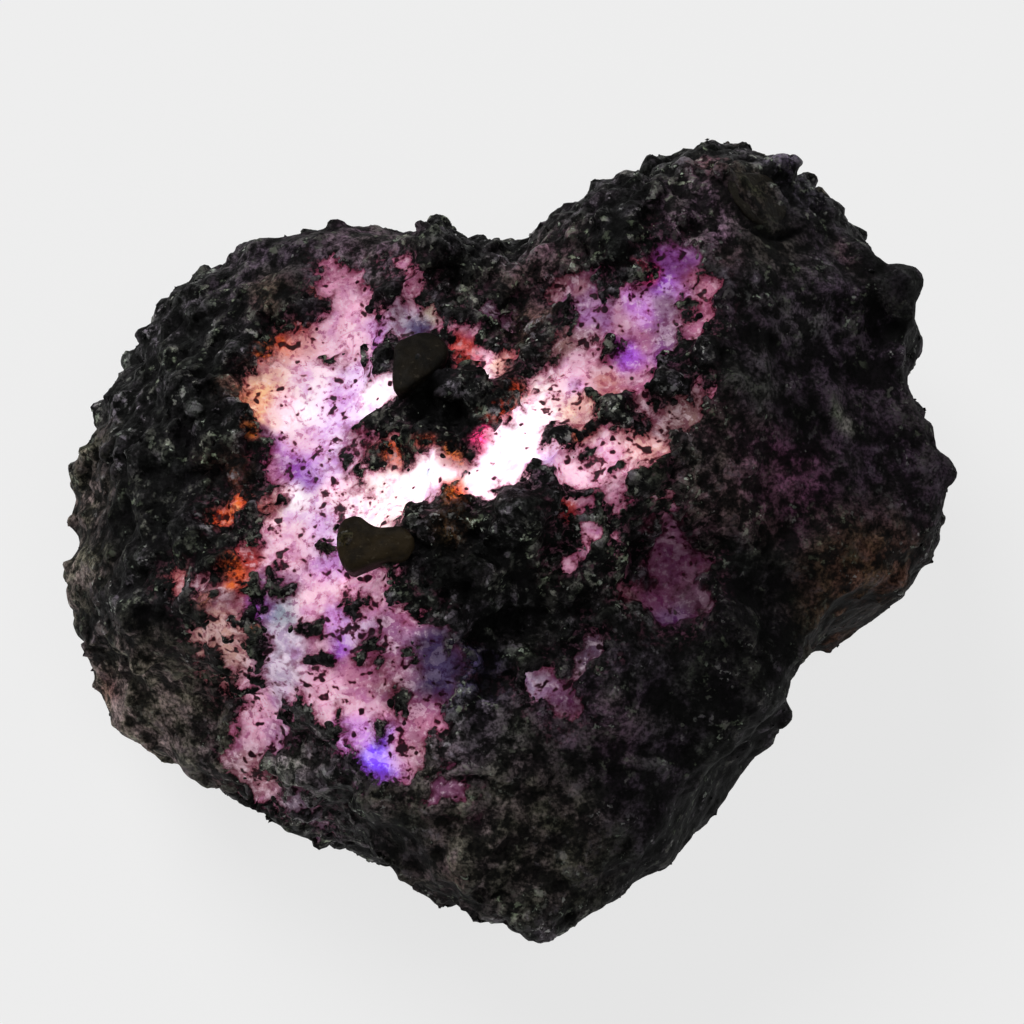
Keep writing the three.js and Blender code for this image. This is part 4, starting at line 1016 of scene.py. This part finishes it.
def stone_material():
    s = Shader("crusted_sapphire")
    # The crystal's painted glow is found by chance hits alone: sampling 400,000 small lamps takes far longer.
    s.material.cycles.emission_sampling = "NONE"
    chip = s.math("MINIMUM", s.number("chip"), 1.0)
    fray = s.math("MULTIPLY", s.math("SUBTRACT", s.noise(0.20, 3.0, 0.65), 0.5), 0.7)
    edge = s.math("ADD", s.number("bare"), fray)
    blur = s.steps(0.0, -0.3, s.number("glow"), 0.05, 0.4)
    window = s.math("MULTIPLY", s.steps(s.math("MULTIPLY", blur, -1.0), blur, edge), s.less(chip))
    crust, glint, haze, leak = crust_colour(s, edge)
    crystal, mottle = crystal_colour(s, edge)
    speck, thick, halo = specks(s)
    halo_colour = s.mix(1.0, s.colour("tint"), (0.66, 0.34, 0.44), "MULTIPLY")
    crystal = s.mix(s.math("MULTIPLY", halo, 0.55), crystal, halo_colour)
    dirt_colour = s.mix(thick, s.mix(1.0, s.colour("tint"), (0.30, 0.07, 0.12), "MULTIPLY"), (0.018, 0.005, 0.009))
    crystal_dirty = s.mix(s.math("MULTIPLY", speck, 0.93), crystal, dirt_colour)
    crust = s.mix(haze, crust, leak)
    base = s.mix(window, crust, crystal_dirty)

    # Painted glow: the crystal gives out light of its own in place of light shining through the stone, dimmer near the
    # crust's edge and under the specks; the dim crystal and leaking light between the grains glow too.
    shine = s.math("ADD", s.number("glow"), BACKLIGHT)
    shine = s.product(shine, s.less(s.math("MULTIPLY", speck, 0.97)), s.steps(0.0, 0.6, edge, 0.45, 1.0))
    strength = s.blend(window, s.math("MULTIPLY", haze, 0.6), shine)
    emission = s.scaled(base, strength)

    rough_crust = s.blend(s.steps(0.45, 0.65, s.noise(0.4, 2.0)), 0.70, 0.42)
    rough_crust = s.blend(s.number("smooth"), rough_crust, 0.88)
    rough_crust = s.blend(glint, rough_crust, 0.25)
    flake = s.math("SUBTRACT", s.math("MAXIMUM", s.number("chip"), 1.0), 1.0)
    rough_crust = s.blend(flake, rough_crust, 0.22)
    roughness = s.blend(window, rough_crust, s.steps(0.3, 0.7, mottle, 0.5, 0.28))

    height = s.math("ADD", s.facets(0.30, 0.9), s.math("MULTIPLY", s.noise(0.14, 3.0, 0.6), 0.00010))
    bump = s.node("Bump", None, Distance=1.0, Height=height)
    strength = s.math("MULTIPLY", s.blend(window, 0.7, 0.4), s.less(s.math("MULTIPLY", s.number("smooth"), 0.5)))
    s.put(bump.inputs["Strength"], strength)
    return s.finish(Base_Color=base, Roughness=roughness, Normal=bump.outputs[0],
                    Emission_Color=emission, Emission_Strength=1.0, Specular_IOR_Level=0.12)


def plate_material(name, dark, light, fleck):
    s = Shader(name)
    base = s.mix(s.steps(0.35, 0.65, s.noise(0.9, 4.0, 0.6)), dark, light)
    base = s.mix(s.steps(0.60, 0.72, s.noise(0.25, 3.0)), base, fleck)
    height = s.math("MULTIPLY", s.noise(0.3, 4.0, 0.6), 0.00012)
    bump = s.node("Bump", None, Distance=1.0, Height=height, Strength=0.6)
    roughness = s.steps(0.3, 0.7, s.noise(0.5, 2.0), 0.55, 0.75)
    return s.finish(Base_Color=base, Roughness=roughness, Normal=bump.outputs[0], Specular_IOR_Level=0.12)


def dress(piece, material):
    piece.data.materials.append(material)
    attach(piece, "root")
    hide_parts(NODE)


stone_look = stone_material()
for piece in (stone, grains, edge_grains, flakes):
    dress(piece, stone_look)
dress(plate, plate_material("smooth_plate", (0.0065, 0.0052, 0.0038), (0.017, 0.013, 0.008), (0.045, 0.036, 0.026)))
dress(brown_lump, plate_material("brown_lump", (0.012, 0.008, 0.004), (0.034, 0.023, 0.010), (0.060, 0.046, 0.028)))
dress(olive_plate, plate_material("olive_plate", (0.011, 0.009, 0.007), (0.026, 0.022, 0.016), (0.050, 0.044, 0.034)))


# ---------------------------------------------------------------- studio
def floor_material():
    s = Shader("pale_floor")
    return s.finish(Base_Color=(0.22, 0.22, 0.22), Roughness=0.9, Specular_IOR_Level=0.1,
                    Emission_Color=(1.0, 1.0, 1.0), Emission_Strength=FLOOR_GLOW)


half = 600.0
floor_points = np.array([(-half, -half, 0.0), (half, -half, 0.0), (half, half, 0.0), (-half, half, 0.0)])
floor = new_piece("floor", floor_points, np.array([(0, 1, 2, 3)]))
floor.data.materials.append(floor_material())


def soft_light(name, direction, distance, size, radiance, aim=(0.0, 0.0, 8.0)):
    """A round soft box of the given width, shining at the stone."""
    lamp = bpy.data.lights.new(name, "AREA")
    lamp.shape = "DISK"
    lamp.size = size * MM
    lamp.energy = radiance * math.pi * math.pi * (size * MM / 2.0) ** 2
    light = bpy.data.objects.new(name, lamp)
    bpy.context.scene.collection.objects.link(light)
    towards = Vector(direction).normalized()
    light.location = (Vector(aim) + towards * distance) * MM
    light.rotation_euler = towards.to_track_quat("Z", "Y").to_euler()
    return light


soft_light("key", (-0.5, 0.7, 0.9), 500.0, 260.0, 6.0)
soft_light("overhead", (0.25, -0.2, 1.0), 700.0, 320.0, 2.2)

world = bpy.data.worlds.new("studio")
world.use_nodes = True
world.node_tree.nodes["Background"].inputs["Color"].default_value = (1.0, 1.0, 1.0, 1.0)
world.node_tree.nodes["Background"].inputs["Strength"].default_value = WORLD_LIGHT
bpy.context.scene.world = world
bpy.context.scene.view_settings.view_transform = "Standard"
bpy.context.scene.view_settings.look = "None"

# ---------------------------------------------------------------- camera
ELEVATION = math.radians(72.0)
DISTANCE = 140.0
FRAME_WIDTH = 46.7
back = Vector((0.0, -math.cos(ELEVATION), math.sin(ELEVATION)))
up = Vector((0.0, math.sin(ELEVATION), math.cos(ELEVATION)))
aim = Vector((0.1, 0.2, 8.0)) + Vector((0.23, 0.0, 0.0)) + up * 1.19
lens = bpy.data.cameras.new("camera")
lens.sensor_width = 36.0
lens.lens = 36.0 * DISTANCE / FRAME_WIDTH
lens.clip_start = 0.01
camera = bpy.data.objects.new("camera", lens)
bpy.context.scene.collection.objects.link(camera)
camera.location = (aim + back * DISTANCE) * MM
camera.rotation_euler = back.to_track_quat("Z", "Y").to_euler()
bpy.context.scene.camera = camera
